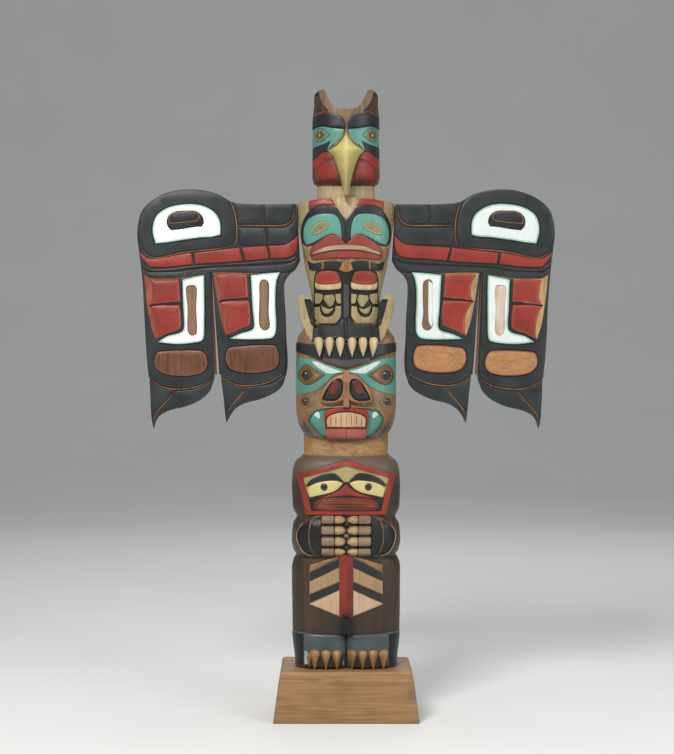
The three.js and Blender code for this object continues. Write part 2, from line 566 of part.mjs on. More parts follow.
const INNER_FEATHER = {
  red: [
    [[0.514, 0.643, SHARP], [0.322, 0.644, SHARP], [0.314, 0.548, SHARP], [0.49, 0.537, SHARP], [0.482, 0.585]],
    [
      [0.49, 0.525, SHARP], [0.312, 0.535, SHARP], [0.302, 0.486], [0.305, 0.432, SHARP], [0.448, 0.389, SHARP],
      [0.455, 0.47],
    ],
  ],
  white: [
    [0.302, 0.643, SHARP], [0.115, 0.655, SHARP], [0.142, 0.6], [0.141, 0.414], [0.155, 0.386], [0.181, 0.376],
    [0.302, 0.371], [0.44, 0.375, SHARP], [0.32, 0.405], [0.282, 0.432], [0.291, 0.504],
  ],
  slot: [[0.245, 0.61], [0.21, 0.622], [0.187, 0.58], [0.185, 0.432], [0.222, 0.411], [0.25, 0.459]],
  oval: [
    [0.455, 0.296], [0.42, 0.34], [0.158, 0.348], [0.125, 0.291], [0.18, 0.244], [0.302, 0.233], [0.43, 0.255],
  ],
  tip: [
    [0.479, 0.211, SHARP], [0.408, 0.183], [0.181, 0.186], [0.09, 0.223, SHARP], [0.13, 0.165], [0.235, 0.124],
    [0.395, 0.083], [0.445, 0.031, SHARP], [0.469, 0.142],
  ],
};

/** A wing: a board butted against the thunderbird's side, with its panels standing a little proud. */
function carveWing(side, lowerArmPanels) {
  const root = THUNDERBIRD.half - OVERLAP;
  const floor = upperNeckFloor + WING_RISE_ABOVE_SHOULDER - WING_HEIGHT;
  const place = ([along, up, sharp]) => [side * (root + along * WING_LENGTH), floor + up * WING_HEIGHT, sharp];
  const back = WING_THICKNESS - WING_FRONT;
  const cutOut = (outline, front, rear, steps) => board(smooth(outline.map(place), steps), front, rear);
  const panel = (outline, steps = 1) => cutOut(outline, -WING_FRONT - WING_RELIEF, 0, steps);
  const recess = (outline) => cutOut(outline, -WING_FRONT - 2 * WING_RELIEF, -WING_FRONT);
  let wood = cutOut(WING_OUTLINE, -WING_FRONT, back);
  wood = wood.subtract(cutOut(FEATHER_SLIT, -WING_FRONT - 1, back + 1));
  wood = wood.add(panel(OVOID, 2)).subtract(recess(OVOID_FIELD)).add(panel(OVOID_EYE));
  for (const outline of [...ARM_PANELS, ...lowerArmPanels, BAND, SILL]) {
    wood = wood.add(panel(outline));
  }
  for (const feather of [OUTER_FEATHER, INNER_FEATHER]) {
    for (const outline of [...feather.red, feather.white, feather.oval, feather.tip]) {
      wood = wood.add(panel(outline));
    }
    wood = wood.subtract(recess(feather.slot));
  }
  return wood.subtract(figureForm(THUNDERBIRD, CLEARANCE));
}

/** The base block, wider below than above. */
function baseBlock() {
  const geometry = new THREE.BoxGeometry(BASE_WIDTH, BASE_DEPTH, BASE_HEIGHT);
  const point = geometry.attributes.position;
  for (let index = 0; index < point.count; index += 1) {
    const lean = point.getZ(index) > 0 ? BASE_LEAN : 0;
    const x = point.getX(index);
    const y = point.getY(index);
    point.setX(index, x - Math.sign(x) * lean);
    point.setY(index, y - Math.sign(y) * lean);
  }
  geometry.translate(0, 0, BASE_HEIGHT / 2);
  return solid(geometry);
}

const totemPole = new THREE.Group();
totemPole.add(piece('pole', carveLog(), 0x8a6642, 0.6));
totemPole.add(piece('wing_left', carveWing(-1, LOWER_ARM_LEFT), 0x3f4445, 0.5));
totemPole.add(piece('wing_right', carveWing(1, LOWER_ARM_RIGHT), 0x3f4445, 0.5));
totemPole.add(piece('base', baseBlock(), 0xa07a4c, 0.65));

export default totemPole;
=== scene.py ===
import json
import math

import bmesh
import bpy
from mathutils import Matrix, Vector, noise

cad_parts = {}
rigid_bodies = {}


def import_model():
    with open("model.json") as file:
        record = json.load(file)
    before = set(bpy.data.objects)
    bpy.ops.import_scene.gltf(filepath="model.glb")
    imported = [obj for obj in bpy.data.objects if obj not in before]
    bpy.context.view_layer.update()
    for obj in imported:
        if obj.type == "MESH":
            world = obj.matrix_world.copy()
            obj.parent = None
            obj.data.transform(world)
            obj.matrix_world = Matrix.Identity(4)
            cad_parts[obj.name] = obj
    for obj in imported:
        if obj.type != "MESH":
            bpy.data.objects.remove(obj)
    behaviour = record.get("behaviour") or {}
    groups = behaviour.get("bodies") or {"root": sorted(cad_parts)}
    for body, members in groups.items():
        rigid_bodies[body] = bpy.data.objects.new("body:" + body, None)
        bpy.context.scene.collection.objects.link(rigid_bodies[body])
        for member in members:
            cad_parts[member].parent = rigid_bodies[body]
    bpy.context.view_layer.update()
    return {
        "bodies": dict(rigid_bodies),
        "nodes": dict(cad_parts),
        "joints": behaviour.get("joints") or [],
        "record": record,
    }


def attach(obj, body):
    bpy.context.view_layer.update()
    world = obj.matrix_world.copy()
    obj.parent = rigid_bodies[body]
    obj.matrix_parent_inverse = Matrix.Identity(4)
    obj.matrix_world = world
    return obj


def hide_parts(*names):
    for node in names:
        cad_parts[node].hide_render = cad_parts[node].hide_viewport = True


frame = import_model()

bl_info = {
    "name": "Totem Pole",
    "version": (1, 0, 0),
    "blender": (4, 5, 0),
    "location": "View3D > Sidebar > Totem Pole",
    "description": "A carved and painted model totem pole with two board wings on a block base",
    "category": "Add Mesh",
}

# Lengths are in millimetres while a piece is carved, and in metres once it is finished.
MILLIMETRE = 0.001

# Marks a point of an outline where the line turns a corner.
SHARP = 1


def in_shares(table):
    """Outlines given in thousandths, as shares."""
    return {key: [(x / 1000, z / 1000, *mark) for x, z, *mark in points] for key, points in table.items()}


# Outlines of the painted fields, in thousandths of a figure's half width and height, or of a wing's
# length and height. An outline that starts and ends on the middle line goes on as its own mirror image.
EAGLE_CUTS = in_shares({
    "brow": [(130, 877), (33, 789), (50, 717, SHARP), (435, 740), (727, 774), (947, 754, SHARP), (942, 859),
        (874, 927, SHARP), (606, 943), (337, 918)],
    "eye_field": [(45, 700, SHARP), (435, 725), (727, 757), (947, 737, SHARP), (957, 474, SHARP),
        (727, 498), (454, 547, SHARP), (520, 480), (569, 410, SHARP), (313, 486), (142, 579)],
    "eye": [(908, 632), (862, 719), (752, 737), (630, 705), (464, 632, SHARP), (630, 570), (752, 539),
        (862, 550)],
    "crown": [(957, 754, SHARP), (976, 1058), (971, 1198), (886, 1256), (764, 1284), (654, 1282, SHARP),
        (557, 1186), (435, 1075), (313, 1019), (179, 997, SHARP), (0, 997)],
})
THUNDERBIRD_CUTS = in_shares({
    "eye_surround": [(0, 849, SHARP), (123, 901), (190, 939), (332, 954), (495, 958), (674, 939),
        (778, 912), (897, 835), (919, 770), (890, 690), (815, 658, SHARP), (629, 669), (421, 708),
        (242, 740), (108, 699), (0, 674, SHARP)],
    "eye_field": [(90, 708, SHARP), (105, 797), (153, 857), (235, 887), (346, 895), (510, 894), (674, 879),
        (793, 849), (860, 792), (867, 720), (815, 669, SHARP), (689, 681), (480, 718), (376, 736),
        (272, 745), (183, 734)],
    "eye": [(332, 810, SHARP), (406, 834), (555, 833), (666, 808), (721, 770), (721, 740, SHARP),
        (629, 743), (480, 764), (376, 789)],
    "red_brow": [(220, 957, SHARP), (257, 988), (309, 1011, SHARP), (525, 1009), (763, 997, SHARP),
        (766, 958), (760, 925, SHARP), (659, 946), (480, 962), (332, 960)],
    "lips": [(0, 669, SHARP), (79, 699), (153, 729), (257, 741), (376, 732), (510, 699), (629, 671),
        (726, 638), (745, 595), (704, 558, SHARP), (480, 561), (0, 567)],
    "mouth_band": [(0, 667), (257, 663), (480, 644), (704, 611, SHARP), (707, 583, SHARP), (480, 601),
        (257, 615), (0, 619)],
    "collar": [(93, 537, SHARP), (272, 548), (458, 543, SHARP), (465, 477, SHARP), (272, 472),
        (138, 483, SHARP)],
    "wedge": [(0, 559, SHARP), (64, 529), (153, 480, SHARP), (0, 458)],
    "knee_cap": [(636, 368), (624, 426), (573, 458), (462, 469), (265, 469), (185, 458), (130, 413),
        (99, 368), (118, 338), (191, 331), (364, 327), (536, 331), (616, 341)],
    "block_outer": [(636, 308, SHARP), (560, 304), (477, 295, SHARP), (480, 264), (536, 228, SHARP),
        (632, 228, SHARP)],
    "knee": [(443, 289, SHARP), (364, 291), (265, 295, SHARP), (228, 259), (265, 219), (327, 201),
        (400, 228), (462, 264)],
    "block_inner": [(226, 295, SHARP), (105, 300, SHARP), (102, 228, SHARP), (173, 228), (204, 250, SHARP)],
    "shin_u": [(646, 201, SHARP), (536, 205, SHARP), (517, 160), (462, 133), (376, 126), (290, 137),
        (234, 169), (216, 205, SHARP), (105, 210, SHARP), (103, 133), (155, 101), (216, 75, SHARP),
        (560, 78, SHARP), (622, 110), (649, 146)],
    "foot": [(689, 88, SHARP), (560, 70), (216, 69), (93, 117, SHARP), (29, 115, SHARP), (25, -32, SHARP),
        (609, -34, SHARP), (665, 24)],
    "ear": [(1005, 271), (900, 303), (749, 271), (656, 203), (656, 109), (714, -4, SHARP), (854, 49),
        (935, 126), (982, 211)],
})
MASK_CUTS = in_shares({
    "brow": [(0, 672, SHARP), (117, 686), (285, 713), (495, 751), (705, 793), (978, 844, SHARP),
        (978, 931, SHARP), (649, 904), (285, 918), (0, 918, SHARP)],
    "eye_field": [(0, 657, SHARP), (145, 674), (355, 708), (565, 746), (747, 768), (901, 777),
        (971, 824, SHARP), (985, 420, SHARP), (747, 445), (565, 474), (418, 521), (285, 585), (187, 622),
        (89, 634, SHARP), (0, 635, SHARP)],
    "eye": [(411, 614, SHARP), (537, 649), (677, 692), (789, 716), (887, 686), (943, 628), (929, 568),
        (845, 528), (733, 521), (621, 541), (509, 578)],
    "nose_wing": [(0, 635, SHARP), (117, 618), (274, 585), (432, 501), (511, 416), (511, 366), (362, 341),
        (152, 353), (0, 391, SHARP)],
    "nostril": [(91, 568), (187, 576), (274, 555), (362, 501), (458, 416), (467, 379), (327, 366),
        (187, 374), (91, 421), (64, 492)],
    "nostril_red": [(178, 547), (248, 564), (327, 517), (379, 450), (292, 429), (222, 450), (182, 501)],
    "mouth_rim": [(0, 329), (215, 319), (425, 315), (621, 292), (768, 245), (810, 184), (747, 103),
        (621, 43), (453, 2, SHARP), (0, 2, SHARP)],
    "mouth_hollow": [(0, 305), (215, 302), (425, 299), (593, 282), (705, 235), (736, 184), (691, 130),
        (593, 73), (495, 33), (404, 11, SHARP), (0, 11, SHARP)],
    "lip_frame": [(0, 302), (187, 299), (355, 285), (436, 262), (432, 198), (408, 103, SHARP),
        (0, 103, SHARP)],
    "teeth": [(0, 272), (187, 262), (327, 238), (397, 204), (390, 116, SHARP), (0, 112, SHARP)],
    "lower_lip": [(0, 102, SHARP), (401, 100, SHARP), (383, 13, SHARP), (0, 11, SHARP)],
})
BEAR_CUTS = in_shares({
    "eye": [(52, 875, SHARP), (172, 887), (323, 888), (503, 881), (653, 864), (717, 843, SHARP),
        (668, 806, SHARP), (473, 818), (278, 830), (157, 845)],
    "lips": [(0, 806), (383, 802), (541, 788), (575, 762), (503, 747), (0, 747)],
    "sleeve": [(451, 727, SHARP), (608, 719), (774, 699), (894, 666), (977, 620), (962, 573), (819, 534),
        (638, 527), (455, 527, SHARP)],
    "sleeve_black1": [(466, 717, SHARP), (593, 696), (653, 651), (646, 593), (563, 540, SHARP),
        (466, 536, SHARP)],
    "sleeve_black2": [(631, 696, SHARP), (759, 682), (864, 647), (879, 612), (804, 565), (714, 546),
        (593, 537, SHARP), (668, 585), (681, 643)],
})
WING_CUTS = in_shares({
    "outline": [(17, 940, SHARP), (228, 939), (361, 941), (427, 952, SHARP), (498, 980), (577, 995),
        (655, 1001), (753, 997), (852, 977), (930, 943), (974, 907), (994, 860), (999, 807), (989, 740),
        (974, 654), (964, 574), (950, 441), (938, 334), (925, 215), (918, 108), (912, 42), (901, 2, SHARP),
        (886, 35), (856, 62), (812, 78), (724, 98), (636, 118), (567, 155), (534, 195), (525, 228, SHARP),
        (485, 227, SHARP), (471, 141), (462, 75), (452, 24, SHARP), (439, 48), (410, 75), (361, 102),
        (272, 118), (194, 138), (125, 171), (88, 215), (74, 275), (81, 374), (86, 474), (94, 574),
        (91, 614), (66, 644), (27, 667), (-3, 704, SHARP)],
    "ovoid": [(405, 880), (427, 930), (469, 965), (528, 984), (636, 996), (753, 992), (856, 971),
        (932, 935), (975, 892), (989, 847), (987, 794), (965, 754), (928, 728), (879, 719), (812, 728),
        (724, 742), (626, 750), (528, 755), (447, 763), (410, 784), (395, 827)],
    "white": [(887, 772, SHARP), (904, 817), (901, 857), (880, 892), (839, 915), (787, 930), (731, 937),
        (675, 940), (608, 935), (552, 920), (511, 898), (488, 867), (483, 832), (485, 809, SHARP),
        (533, 801), (600, 798), (675, 791), (749, 784), (824, 776)],
    "eye": [(818, 867), (804, 891), (764, 908), (701, 911), (645, 910), (615, 901), (595, 885), (587, 862),
        (600, 844, SHARP), (652, 841), (720, 833), (790, 828, SHARP), (811, 844)],
    "eye_rim": [(802, 855, SHARP), (805, 877), (790, 896), (768, 905), (638, 906), (617, 895), (617, 877),
        (634, 866, SHARP), (712, 860)],
    "eye_lid": [(777, 872, SHARP), (785, 885), (772, 901), (712, 904), (643, 903), (628, 894),
        (641, 872, SHARP), (712, 869)],
    "arm_a": [(411, 947, SHARP), (376, 942), (228, 937, SHARP), (236, 881), (232, 856, SHARP),
        (376, 856, SHARP), (383, 886), (394, 917)],
    "arm_b": [(211, 934, SHARP), (32, 938, SHARP), (42, 905), (58, 874), (78, 855, SHARP),
        (205, 856, SHARP), (215, 881)],
    "arm_c": [(376, 839, SHARP), (215, 839, SHARP), (212, 800), (207, 769, SHARP), (357, 767, SHARP),
        (371, 800)],
    "arm_d": [(194, 839, SHARP), (74, 841), (49, 855), (29, 886), (21, 929, SHARP), (8, 930, SHARP),
        (6, 824, SHARP), (31, 800), (60, 776), (100, 771), (190, 769, SHARP)],
    "band1": [(989, 740, SHARP), (930, 712), (861, 712), (753, 726), (667, 736, SHARP), (657, 687, SHARP),
        (802, 677), (920, 675, SHARP), (964, 707)],
    "band2": [(650, 735, SHARP), (498, 747), (369, 756, SHARP), (349, 700, SHARP), (498, 694),
        (642, 688, SHARP)],
    "band3": [(355, 756, SHARP), (204, 764, SHARP), (189, 710, SHARP), (333, 701, SHARP)],
    "band4": [(190, 764, SHARP), (86, 770), (32, 792), (9, 810, SHARP), (12, 760), (35, 728), (76, 715),
        (176, 710, SHARP)],
    "sill": [(977, 675, SHARP), (920, 650), (802, 649), (655, 663), (537, 672), (361, 677), (164, 683),
        (61, 691), (5, 717, SHARP), (27, 674), (76, 655, SHARP), (213, 650), (312, 649), (547, 652),
        (655, 646), (773, 630), (901, 626), (962, 641, SHARP)],
    "sill_upper": [(969, 697, SHARP), (920, 670), (802, 670), (655, 682), (498, 687), (341, 694),
        (184, 704), (66, 707), (22, 724, SHARP), (15, 714), (61, 699), (164, 691), (361, 684), (537, 680),
        (655, 672), (802, 658), (920, 659), (974, 680, SHARP)],
    "outer_frame": [(969, 653, SHARP), (954, 459), (944, 323), (928, 214, SHARP), (850, 183), (730, 170),
        (617, 186), (546, 214), (533, 255), (540, 368), (552, 504), (556, 658, SHARP)],
    "outer_cusp": [(958, 642, SHARP), (918, 627, SHARP), (742, 625, SHARP), (817, 504), (887, 371, SHARP),
        (917, 436), (937, 513)],
    "outer_red1": [(917, 621, SHARP), (824, 622), (742, 621, SHARP), (734, 530, SHARP), (817, 527),
        (917, 519, SHARP), (904, 549), (907, 585)],
    "outer_red2": [(917, 508, SHARP), (884, 516), (740, 516, SHARP), (730, 468), (734, 420),
        (757, 409, SHARP), (817, 395), (882, 374, SHARP), (880, 414), (892, 468)],
    "outer_white": [(723, 623, SHARP), (657, 634), (585, 643, SHARP), (583, 549), (583, 414), (590, 373),
        (617, 361), (750, 352), (878, 360, SHARP), (817, 387), (737, 402), (713, 420), (717, 504)],
    "outer_slot": [(698, 590), (670, 600), (640, 598), (630, 583), (634, 504), (630, 404), (647, 389),
        (673, 391), (689, 414), (689, 504)],
    "outer_oval": [(894, 282), (880, 314), (844, 323), (610, 325), (577, 305), (566, 269), (590, 239),
        (657, 223), (750, 221), (844, 233), (884, 255)],
    "outer_tip_a": [(918, 200, SHARP), (850, 171), (773, 160, SHARP), (827, 113), (894, 58, SHARP),
        (905, 56, SHARP), (912, 119)],
    "outer_tip_b": [(760, 157, SHARP), (643, 166), (538, 200, SHARP), (546, 165), (603, 124), (697, 93),
        (797, 77), (857, 56), (884, 33), (897, 6, SHARP), (902, 38), (877, 61), (810, 113)],
    "inner_frame": [(541, 651, SHARP), (515, 459), (492, 278), (483, 223, SHARP), (408, 194), (302, 185),
        (181, 201), (95, 239), (85, 323), (88, 459), (95, 572), (91, 617), (61, 651, SHARP)],
    "inner_cusp": [(532, 649, SHARP), (322, 647, SHARP), (388, 504), (452, 389, SHARP), (485, 459),
        (509, 549)],
    "inner_red1": [(514, 643, SHARP), (422, 646), (322, 644, SHARP), (314, 548, SHARP), (395, 543),
        (490, 537, SHARP), (481, 567), (485, 608)],
    "inner_red2": [(490, 525, SHARP), (462, 533), (312, 535, SHARP), (302, 486), (305, 432, SHARP),
        (362, 418), (448, 389, SHARP), (447, 459), (462, 495)],
    "inner_white": [(302, 643, SHARP), (208, 650), (115, 655, SHARP), (138, 617), (145, 549), (141, 414),
        (155, 386), (181, 376), (302, 371), (440, 375, SHARP), (368, 398), (295, 414), (282, 432),
        (291, 504), (298, 595)],
    "inner_slot": [(245, 610), (222, 624), (191, 613), (185, 572), (188, 481), (181, 432), (195, 414),
        (222, 411), (245, 427), (250, 459), (246, 549)],
    "inner_oval": [(455, 296), (442, 330), (408, 341), (158, 348), (133, 325), (125, 291), (141, 257),
        (208, 239), (302, 233), (402, 242), (442, 264)],
    "inner_tip_a": [(479, 211, SHARP), (408, 183), (332, 176, SHARP), (372, 135), (428, 95, SHARP),
        (455, 83, SHARP), (469, 142)],
    "inner_tip_b": [(318, 175, SHARP), (181, 186), (90, 223, SHARP), (100, 187), (141, 156), (235, 124),
        (335, 106), (395, 83), (425, 56), (445, 31, SHARP), (452, 61), (422, 92), (358, 140)],
})


def linear(red, green, blue):
    """A colour given as eight-bit screen values, as the renderer's linear ones."""
    shares = (red / 255, green / 255, blue / 255)
    return tuple(c / 12.92 if c <= 0.04045 else ((c + 0.055) / 1.055) ** 2.4 for c in shares)


# Surfaces that the carving is laid on

SIDE_FROM = 0.955
SIDE_TO = 1.07
SIDE_BACK = 9.0
LOG_BACK = 24.0
BACK_SQUARENESS = 8.0

# Which of the many hand-cut surfaces is made. Without it each run would make another one.
UNEVENNESS = 7

# Relief stands straight out of the front, and turns aside and dies down on the sides.
TURN_FROM = 0.8
SIDE_RELIEF = 0.2


def smooth_rows(rows, share):
    """Values between rows of [share, value, ...], without overshooting any row."""
    if share <= rows[0][0]:
        return rows[0][1:]
    if share >= rows[-1][0]:
        return rows[-1][1:]
    at = next(i for i in range(len(rows) - 1) if share <= rows[i + 1][0])
    first, last = rows[at], rows[at + 1]
    gap = last[0] - first[0]
    t = (share - first[0]) / gap

    def slope(row, column):
        if row == 0 or row == len(rows) - 1:
            return 0.0
        before = (rows[row][column] - rows[row - 1][column]) / (rows[row][0] - rows[row - 1][0])
        after = (rows[row + 1][column] - rows[row][column]) / (rows[row + 1][0] - rows[row][0])
        return 0.0 if before * after <= 0 else 2 * before * after / (before + after)

    values = []
    for column in range(1, len(first)):
        rise = last[column] - first[column]
        start = slope(at, column) * gap
        end = slope(at + 1, column) * gap
        curve = (start + end - 2 * rise) * t ** 3 + (3 * rise - 2 * start - end) * t ** 2 + start * t
        values.append(first[column] + curve)
    return values


class Figure:
    """One figure of the log: a round front and a square back, whose widths and depths change with height."""

    def __init__(self, floor, height, half, front, rows):
        self.floor = floor
        self.height = height
        self.half = half
        self.front = front
        self.rows = rows
        self.grid = 4.0
        self.known = {}
        self.valley = None

    def sunk(self, x, z):
        """How deep a valley down the front's middle is at a point. A valley is (depth, width, high, low)."""
        if not self.valley:
            return 0.0
        depth, wide, high, low = self.valley
        share = max(0.0, min(1.0, (high - z) / (high - low)))
        return depth * math.exp(-((x / wide) ** 2)) * share * share * (3 - 2 * share)

    def at(self, z):
        """Half width, front depth and roundness at a height."""
        key = round(z, 2)
        if key not in self.known:
            half, front, power = smooth_rows(self.rows, (z - self.floor) / self.height)
            self.known[key] = (half * self.half, front * self.front, power)
        return self.known[key]

    def place(self, x, z, out):
        """The point over (x, z), that far out of the wood. Past the front's edge it turns onto the side."""
        wide, deep, power = self.at(z)
        share = abs(x) / wide
        if share < SIDE_FROM:
            across = share * wide
            fore = deep * (1 - share ** power) ** (1 / power)
        else:
            first = deep * (1 - SIDE_FROM ** power) ** (1 / power)
            fore = first - (share - SIDE_FROM) / (SIDE_TO - SIDE_FROM) * (first + SIDE_BACK)
            if fore > 0:
                across = wide * (1 - (fore / deep) ** power) ** (1 / power)
            else:
                across = wide * (1 - (-fore / LOG_BACK) ** BACK_SQUARENESS) ** (1 / BACK_SQUARENESS)
        if fore > 0:
            turn = Vector(((across / wide) ** (power - 1) / wide, -((fore / deep) ** (power - 1)) / deep))
        else:
            turn = Vector((1.0, 0.0))
        turn.normalize()
        aside = max(0.0, min(1.0, (share - TURN_FROM) / (1 - TURN_FROM)))
        aside = aside * aside * (3 - 2 * aside)
        outwards = turn.x * SIDE_RELIEF * aside
        forwards = 1 - aside - turn.y * aside
        side = math.copysign(1.0, x)
        return Vector((side * (across + outwards * out), -fore - forwards * out + self.sunk(x, z), z))

    def lines(self, low, high):
        """Where a field is divided across, so that it bends with the wood."""
        wide = self.at((low + high) / 2)[0]
        shares = (0.1, 0.2, 0.3, 0.4, 0.5, 0.59, 0.67, 0.74, 0.8, 0.85, 0.89, 0.92, 0.945, 0.965, 0.985,
                  1.005, 1.03, 1.06)
        return [side * share * wide for share in shares for side in (1, -1)] + [0.0]

    def section(self, z, around):
        """A point of the log's outline at a height, once around as the share goes from 0 to 1."""
        wide, deep, power = self.at(z)
        front_share = 0.68
        if around < front_share:
            angle = math.pi * around / front_share
            x = wide * math.copysign(abs(math.cos(angle)) ** (2 / power), math.cos(angle))
            return Vector((x, -deep * abs(math.sin(angle)) ** (2 / power) + self.sunk(x, z), z))
        angle = math.pi * (around - front_share) / (1 - front_share)
        x = -wide * math.copysign(abs(math.cos(angle)) ** (2 / BACK_SQUARENESS), math.cos(angle))
        return Vector((x, LOG_BACK * abs(math.sin(angle)) ** (2 / BACK_SQUARENESS), z))

    def point(self, u, v):
        return u * self.half, self.floor + v * self.height

    def string(self, shares, side, step):
        """A line through points given in shares, on the left or the right."""
        return strung([self.point(side * u, v) for u, v in shares], step)


class Board:
    """A wing's flat board: its face is a plane, and its outlines run outwards from the pole's side."""

    def __init__(self, side, face=3.0):
        self.side = side
        self.face = face
        self.root = 46.5
        self.foot = 284.3
        self.length = 162.0
        self.height = 239.0
        self.grid = 9.0

    def place(self, x, z, out):
        return Vector((x, -self.face - out, z))

    def lines(self, low, high):
        return [self.side * (self.root + self.grid * i) for i in range(20)]

    def point(self, s, t):
        return self.side * (self.root + s * self.length), self.foot + t * self.height


def drawn(corners, step):
    """A closed outline through points, curved between its corners, as a list of (x, z)."""
    points = [Vector(corner[:2]) for corner in corners]
    count = len(points)
    sharp = [len(corner) > 2 for corner in corners]
    line = []
    for i in range(count):
        start, end = points[i], points[(i + 1) % count]
        length = (end - start).length
        if length < 1e-6:
            continue
        begin = end - start
        finish = end - start
        if not sharp[i]:
            begin = (end - points[i - 1]).normalized() * length
        if not sharp[(i + 1) % count]:
            finish = (points[(i + 2) % count] - start).normalized() * length
        if sharp[i] and sharp[(i + 1) % count]:
            pieces = max(1, round(length / (2.5 * step)))
        else:
            pieces = max(1, round(length / step))
        for k in range(pieces):
            t = k / pieces
            a = 2 * t ** 3 - 3 * t ** 2 + 1
            b = t ** 3 - 2 * t ** 2 + t
            c = 3 * t ** 2 - 2 * t ** 3
            d = t ** 3 - t ** 2
            spot = start * a + begin * b + end * c + finish * d
            line.append((spot.x, spot.y))
    return line


def strung(corners, step):
    """An open line through points, curved as a drawn outline is."""
    doubled = [tuple(corners[0][:2]) + (SHARP,), *corners[1:-1], tuple(corners[-1][:2]) + (SHARP,)]
    line = drawn(doubled, step)
    last = doubled[-1][:2]
    end = next(i for i, spot in enumerate(line) if (Vector(spot) - Vector(last)).length < 1e-5)
    return line[: end + 1]


def distance_to(x, z, line):
    """How far a point is from a closed outline."""
    best = 1e9
    for i, (ax, az) in enumerate(line):
        bx, bz = line[i - 1]
        dx, dz = bx - ax, bz - az
        share = max(0.0, min(1.0, ((x - ax) * dx + (z - az) * dz) / (dx * dx + dz * dz or 1.0)))
        best = min(best, (x - ax - dx * share) ** 2 + (z - az - dz * share) ** 2)
    return math.sqrt(best)


class Inset:
    """Outlines inside a closed outline, at even distances from it, without the parts too narrow for them."""

    def __init__(self, line):
        self.spots = [Vector(spot) for spot in line]
        count = len(self.spots)
        area = sum(spot.x * line[i - 1][1] - line[i - 1][0] * spot.y for i, spot in enumerate(self.spots))
        turn = -1.0 if area > 0 else 1.0
        self.inwards = []
        self.reach = []
        self.corner = []
        self.limit = []
        for i, spot in enumerate(self.spots):
            before = (spot - self.spots[i - 1]).normalized()
            after = (self.spots[(i + 1) % count] - spot).normalized()
            first = Vector((-before.y, before.x)) * turn
            middle = first + Vector((-after.y, after.x)) * turn
            middle = middle.normalized() if middle.length > 1e-4 else first
            self.inwards.append(middle)
            self.reach.append(1 / max(0.16, middle.dot(first)))
            self.corner.append(before.dot(after) < 0.82)
            best = 1e9
            for other in self.spots:
                gap = other - spot
                ahead = gap.dot(middle)
                if ahead > 1e-5:
                    best = min(best, gap.length_squared / (2 * ahead))
            self.limit.append(best)

    def at(self, distance):
        """The outline at a distance, point for point, or None where nothing is that far in."""
        count = len(self.spots)
        found = [None] * count
        for i, spot in enumerate(self.spots):
            place = spot + self.inwards[i] * distance * self.reach[i]
            if self.corner[i]:
                good = all((place - other).length > distance * 0.96 for other in self.spots)
            else:
                good = self.limit[i] > distance
            found[i] = place if good else None
        if sum(place is not None for place in found) < 3:
            return None
        filled = []
        for i in range(count):
            step = next(k for k in range(count) if found[(i + k) % count] or found[(i - k) % count])
            filled.append(found[(i + step) % count] or found[(i - step) % count])
        return filled


class Carving:
    """A piece of wood that layers are joined to and cut from. Every layer shares its list of finishes."""

    def __init__(self, name, finishes):
        self.name = name
        self.finishes = finishes
        self.names = list(finishes)
        self.object = None

    def index(self, paint):
        return self.names.index(paint)

    def made(self, sheet, name):
        mesh = bpy.data.meshes.new(name)
        sheet.to_mesh(mesh)
        sheet.free()
        for finish in self.finishes.values():
            mesh.materials.append(finish)
        piece = bpy.data.objects.new(name, mesh)
        bpy.context.scene.collection.objects.link(piece)
        return piece

    def apply(self, layer, operation="UNION"):
        """Joins a layer to the wood, or cuts it away."""
        other = self.made(layer.sheet, self.name + "_layer")
        if self.object is None:
            self.object = other
            return
        modifier = self.object.modifiers.new("carve", "BOOLEAN")
        modifier.operation = operation
        modifier.solver = "MANIFOLD"
        modifier.object = other
        graph = bpy.context.evaluated_depsgraph_get()
        done = self.object.evaluated_get(graph)
        mesh = bpy.data.meshes.new_from_object(done, preserve_all_data_layers=True, depsgraph=graph)
        if not mesh.polygons:
            raise RuntimeError(f"{self.name}: a layer left no wood")
        self.object.modifiers.clear()
        old = self.object.data
        self.object.data = mesh
        bpy.data.meshes.remove(old)
        bpy.data.meshes.remove(other.data)

    def finish(self, wobble=0.25, sharp=38.0, stains=()):
        """Gives the wood its hand-cut unevenness and smooth shading, and turns it into metres.

        A painted shade is (x, y, z, reach across, reach along, reach up, strength): painted shade that
        darkens the hollows it covers.
        """
        mesh = self.object.data
        sheet = bmesh.new()
        sheet.from_mesh(mesh)
        bmesh.ops.remove_doubles(sheet, verts=sheet.verts, dist=0.002)
        bmesh.ops.dissolve_degenerate(sheet, edges=sheet.edges, dist=0.002)
        # How much painted shade each point of the hollows gets
        stained = sheet.verts.layers.float.new("stain")
        for vert in sheet.verts:
            total = 0.0
            for x, y, z, across, along, up, strength in stains:
                away = vert.co - Vector((x, y, z))
                far = (away.x / across) ** 2 + (away.y / along) ** 2 + (away.z / up) ** 2
                if far < 6:
                    total += strength * math.exp(-far)
            vert[stained] = min(1.0, total)
        noise.seed_set(UNEVENNESS)
        for vert in sheet.verts:
            broad = noise.noise_vector(vert.co * 0.035) * wobble
            vert.co += broad + noise.noise_vector(vert.co * 0.13) * wobble * 0.3
        bmesh.ops.scale(sheet, vec=(MILLIMETRE,) * 3, verts=sheet.verts)
        sheet.to_mesh(mesh)
        sheet.free()
        mesh.shade_smooth()
        mesh.set_sharp_from_angle(angle=math.radians(sharp))
        mesh.name = self.name
        self.object.name = self.name
        return self.object


def cut_across(part, axis, at):
    """Divides a mesh where it crosses a place on an axis."""
    everything = part.verts[:] + part.edges[:] + part.faces[:]
    centre = [at if number == axis else 0 for number in range(3)]
    normal = [1 if number == axis else 0 for number in range(3)]
    bmesh.ops.bisect_plane(part, geom=everything, dist=0.01, plane_co=centre, plane_no=normal)


